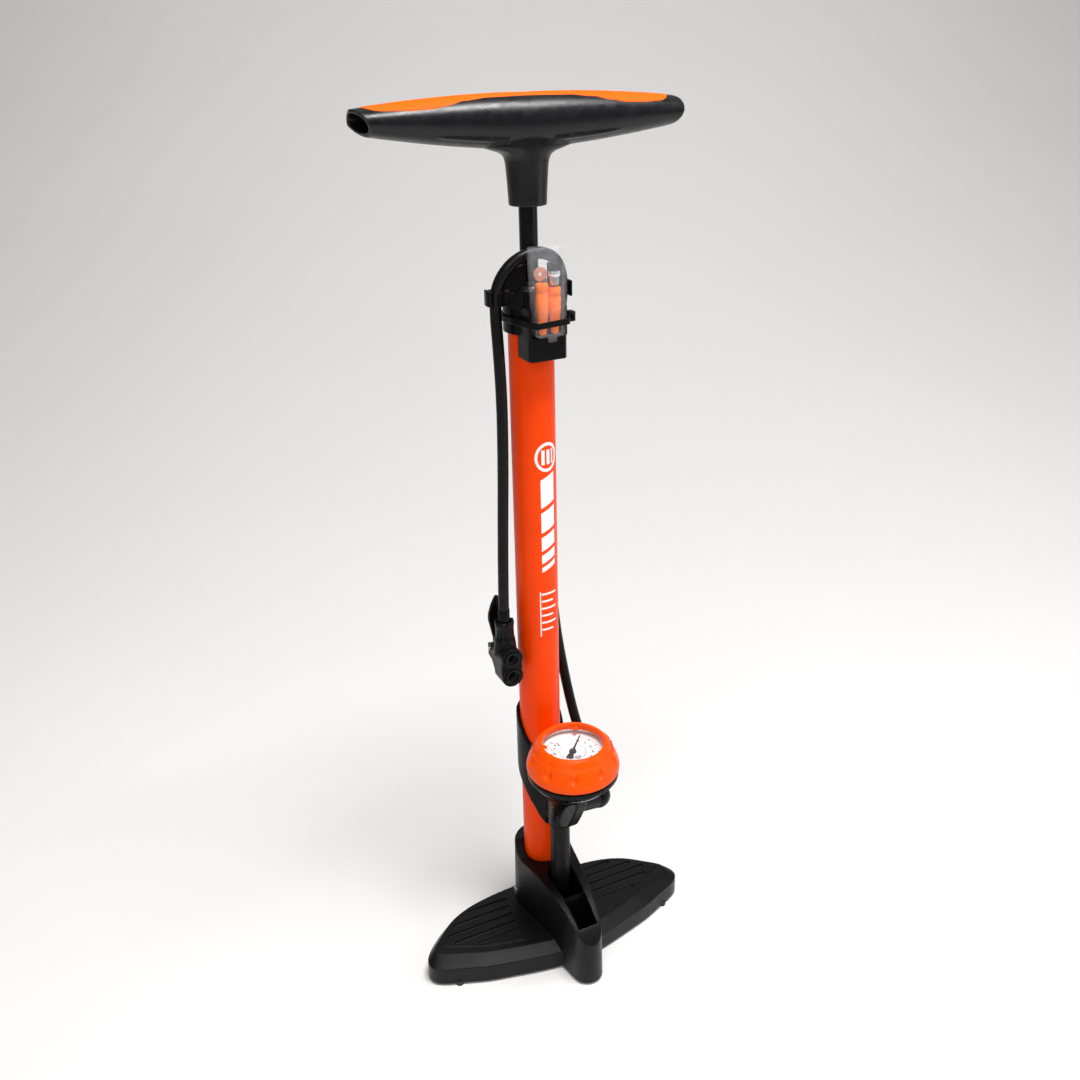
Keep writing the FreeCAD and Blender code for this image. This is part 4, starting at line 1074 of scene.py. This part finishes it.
def lever_axis(x):
    """A place on the lever pin's axis, x from the head's middle."""
    return (HEAD_X + x, LEVER_PIN_Y, LEVER_PIN_Z)


def make_head(material):
    """Two ports in one block under the hose nut, with cheeks for the lever."""
    face_y = box_mm("port_rings")[0].y + 1.0
    top_z, low_z = PORT_Z
    back_y, low_back_y = 3.0, -3.0
    wall_r, bore_r = 8.6, 6.2
    body = rod_between("head_block", (HEAD_X, face_y, top_z), (HEAD_X, back_y, top_z), wall_r,
                       steps=72)
    solids = [rod_between("low_port", (HEAD_X, face_y, low_z), (HEAD_X, low_back_y, low_z), wall_r,
                          steps=72),
              side_prism("bridge", [(face_y + 1.4, low_z), (low_back_y, low_z), (back_y, 270.0),
                                    (back_y, top_z), (face_y + 1.4, top_z)], HEAD_X - 8.5, HEAD_X + 8.5),
              rod_between("neck", (HEAD_X, HEAD_Y, 276.0), (HEAD_X, HEAD_Y, 288.6), 9.3, 7.9)]
    for sign in (-1, 1):
        x = HEAD_X + sign * 6.6
        cheek = rounded([(2.0, 268.0), (9.0, 270.0), (9.4, 280.0), (2.0, 283.0)], 1.5)
        solids.append(side_prism("cheek", cheek, x - 1.7, x + 1.7))
    combine(body, solids, "UNION")
    cuts = [rod_between("port", (HEAD_X, face_y - 2.0, z), (HEAD_X, face_y + 12.0, z), bore_r,
                        steps=64) for z in PORT_Z]
    cuts.append(block("cam_gap", (HEAD_X - 5.0, 3.0, 260.0), (HEAD_X + 5.0, 14.0, 292.0)))
    cuts.append(rod_between("cam_seat", lever_axis(-5.0), lever_axis(5.0), 3.8))
    combine(body, cuts)
    soften(body, 0.36, 5)
    return finish_piece(body, "pump", material, "black_plastic", "head_body")


def make_sleeve(material):
    """The tapered hose nut, with grip flutes and a wavy upper rim."""
    low, high = SLEEVE_LOW.z, SLEEVE_HIGH.z
    outline = [(5.4, low + 1.0), (6.6, low), (6.6, low + 4.6), (7.7, low + 5.0), (7.7, low + 6.4),
               (7.3, low + 7.0), (7.0, high - 4.5), (7.3, high - 3.6), (7.4, high - 0.6), (7.0, high),
               (5.6, high), (5.4, high - 0.6)]

    def fluted(a, r, z):
        if low + 6.8 < z < high - 4.0 and r > 6.0:
            r -= 0.22 * (0.5 + 0.5 * math.cos(12 * a))
        if z > high - 1.0 and r > 6.0:
            z += 0.6 * math.cos(8 * a)
        return (r, z)

    piece = lathe("hose_nut", outline, HEAD_X, HEAD_Y, 144, fluted)
    shade_smooth(piece)
    return finish_piece(piece, "pump", material, "black_plastic", "head_sleeve")


def make_head_collar(material):
    """The hose's thin crimp, a close skin that barely shows above the nut."""
    low, high = box_mm("head_ferrule")[0].z, HOSE_ROUTE[-1][2] + 1.6
    outline = [(3.6, low), (4.4, low), (4.4, high - 0.4), (4.15, high), (3.6, high)]
    piece = lathe("hose_crimp", outline, HEAD_X, HEAD_Y, 64)
    shade_smooth(piece)
    return finish_piece(piece, "pump", material, "black_plastic", "head_ferrule")


def make_lever(material):
    """The locking lever: a cam, an arm, and a thin paddle behind the hose."""
    y0 = 6.2
    half = [(4.0, 283.0), (5.6, 291.0), (7.4, 299.5), (7.2, 305.0), (5.0, 312.0), (1.6, 318.6)]
    outline = [(-4.0, 283.0)] + half + [(0.0, 319.8)] + [(-x, z) for x, z in reversed(half[1:])]
    outline = rounded(outline, 1.5, 3)
    paddle = loft("lock_lever", [[(HEAD_X + x, y, z) for x, z in outline]
                                 for y in (y0, y0 + 3.0)])
    arm = [(y0, LEVER_PIN_Z), (9.2, LEVER_PIN_Z), (9.4, 300.0), (y0, 300.0)]
    solids = [rod_between("cam", lever_axis(-4.7), lever_axis(4.7), 3.4),
              side_prism("arm", arm, HEAD_X - 4.0, HEAD_X + 4.0)]
    combine(paddle, solids, "UNION")
    ribs = [block("rib", (HEAD_X - 5.0, 8.8, z), (HEAD_X + 5.0, 9.6, z + 1.2))
            for z in (298.0, 301.0, 304.0)]
    combine(paddle, ribs, "UNION")
    combine(paddle, [rod_between("pin_hole", lever_axis(-20.0), lever_axis(20.0), 1.6)])
    soften(paddle, 0.34, 4)
    return finish_piece(paddle, "lever", material, "black_plastic", "head_lever")


# ---------------------------------------------------------------- stage and light

def make_stage():
    """A pale floor that curves up into a backdrop."""
    points = []
    flat_to, radius = 0.5, 3.4
    run = [(y, 0.0) for y in (-3.0, 0.0, flat_to)]
    run += [(flat_to + radius * math.sin(math.radians(a)), radius - radius * math.cos(math.radians(a)))
            for a in range(3, 76, 3)]
    turn = Matrix.Rotation(math.radians(CAMERA_YAW), 3, "Z")
    for y, z in run:
        for x in (-4.0, 4.0):
            points.append(turn @ Vector((x, y, z)))
    data = bpy.data.meshes.new("backdrop")
    faces = [(2 * i, 2 * i + 1, 2 * i + 3, 2 * i + 2) for i in range(len(run) - 1)]
    data.from_pydata(points, [], faces)
    backdrop = add_object("backdrop", data)
    shade_smooth(backdrop)
    material = surface("backdrop", (0.9, 0.89, 0.885), 0.9, grain=40, depth=0.01, mottle=0.01,
                       specular=0.1, patch=2)
    data.materials.append(material)


# Each light's name, place, aim and size in metres, and its power in watts.
LIGHTS = (
    ("softbox", (0.1, -0.5, 2.0), (0.0, -0.05, 0.3), (0.7, 0.45), 34),
    ("key", (-1.3, -1.4, 1.6), (0.0, 0.0, 0.35), (1.1, 1.1), 13),
    ("fill", (1.4, -1.0, 1.0), (0.0, 0.0, 0.35), (0.9, 1.6), 9),
    ("wall", (0.6, 1.2, 2.4), (1.3, 2.9, 0.6), (2.6, 1.0), 17),
)
WORLD_STRENGTH = 0.17


def make_light(name, place, target, size, power):
    data = bpy.data.lights.new(name, "AREA")
    data.shape = "RECTANGLE"
    data.size, data.size_y = size
    data.energy = power
    light = bpy.data.objects.new(name, data)
    light.location = place
    light.rotation_euler = (Vector(place) - Vector(target)).to_track_quat("Z", "Y").to_euler()
    bpy.context.scene.collection.objects.link(light)


def make_lights():
    world = bpy.data.worlds.new("studio")
    world.use_nodes = True
    background = world.node_tree.nodes["Background"]
    background.inputs["Color"].default_value = (1, 1, 1, 1)
    background.inputs["Strength"].default_value = WORLD_STRENGTH
    bpy.context.scene.world = world
    for light in LIGHTS:
        make_light(*light)
    bpy.context.scene.view_settings.view_transform = "Standard"


# ---------------------------------------------------------------- everything together

def main():
    make_camera()
    black = black_plastic()
    paint = orange_paint()
    orange = orange_plastic()
    metal = steel()
    soft_black = rubber()
    guide = guide_plastic()
    gold = brass()
    case_clear = clear("clear_plastic", (0.82, 0.83, 0.85), 0.055, 0.16)
    lens_clear = clear("lens_clear", (0.9, 0.92, 0.94), 0.02, 0.05)
    hose = make_hose(hose_rubber())
    make_foot(foot_plastic())
    make_grip(grip_plastic())
    make_insert(orange_soft())
    make_bezel(orange)
    make_housing(black)
    make_dial(dial_white(), ink("ink_grey", (0.1, 0.1, 0.11)), ink("ink_red", (0.42, 0.03, 0.025)),
              ink("ink_black", (0.03, 0.03, 0.03)))
    make_needle(ink("needle_ink", (0.01, 0.01, 0.01)))
    make_elbow(black)
    make_outlet_ferrule(black)
    make_barrel_print(print_white())
    make_bracket(black)
    make_case(case_clear)
    make_nozzles(nozzle_plastic())
    make_needle_base(chrome())
    make_tie(black)
    make_head(black)
    make_sleeve(black)
    make_head_collar(black)
    make_lever(black)
    kept = {
        paint: ["barrel"],
        cast_alloy(): ["manifold", "base_plug"],
        black: ["riser_tube", "barrel_cap", "port_rings"],
        soft_black: ["base_o_ring", "piston_o_ring", "rod_bumper", "sole_pads", "gasket_presta",
                     "gasket_schrader"],
        metal: ["check_ball", "check_spring", "rod_nut", "handle_screw", "gauge_can",
                "needle_arbor", "lever_pin", "foot_screws", "clamp_screw"],
        guide: ["piston", "rod_bush"],
        black_rod(): ["piston_rod"],
        pink_plastic(): ["spare_washer"],
        gold: ["gauge_stem", "bourdon_tube"],
        lens_clear: ["gauge_lens"],
    }
    for material, nodes in kept.items():
        for node in nodes:
            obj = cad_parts[node]
            obj.data.materials.clear()
            obj.data.materials.append(material)
    make_stage()
    make_lights()


main()
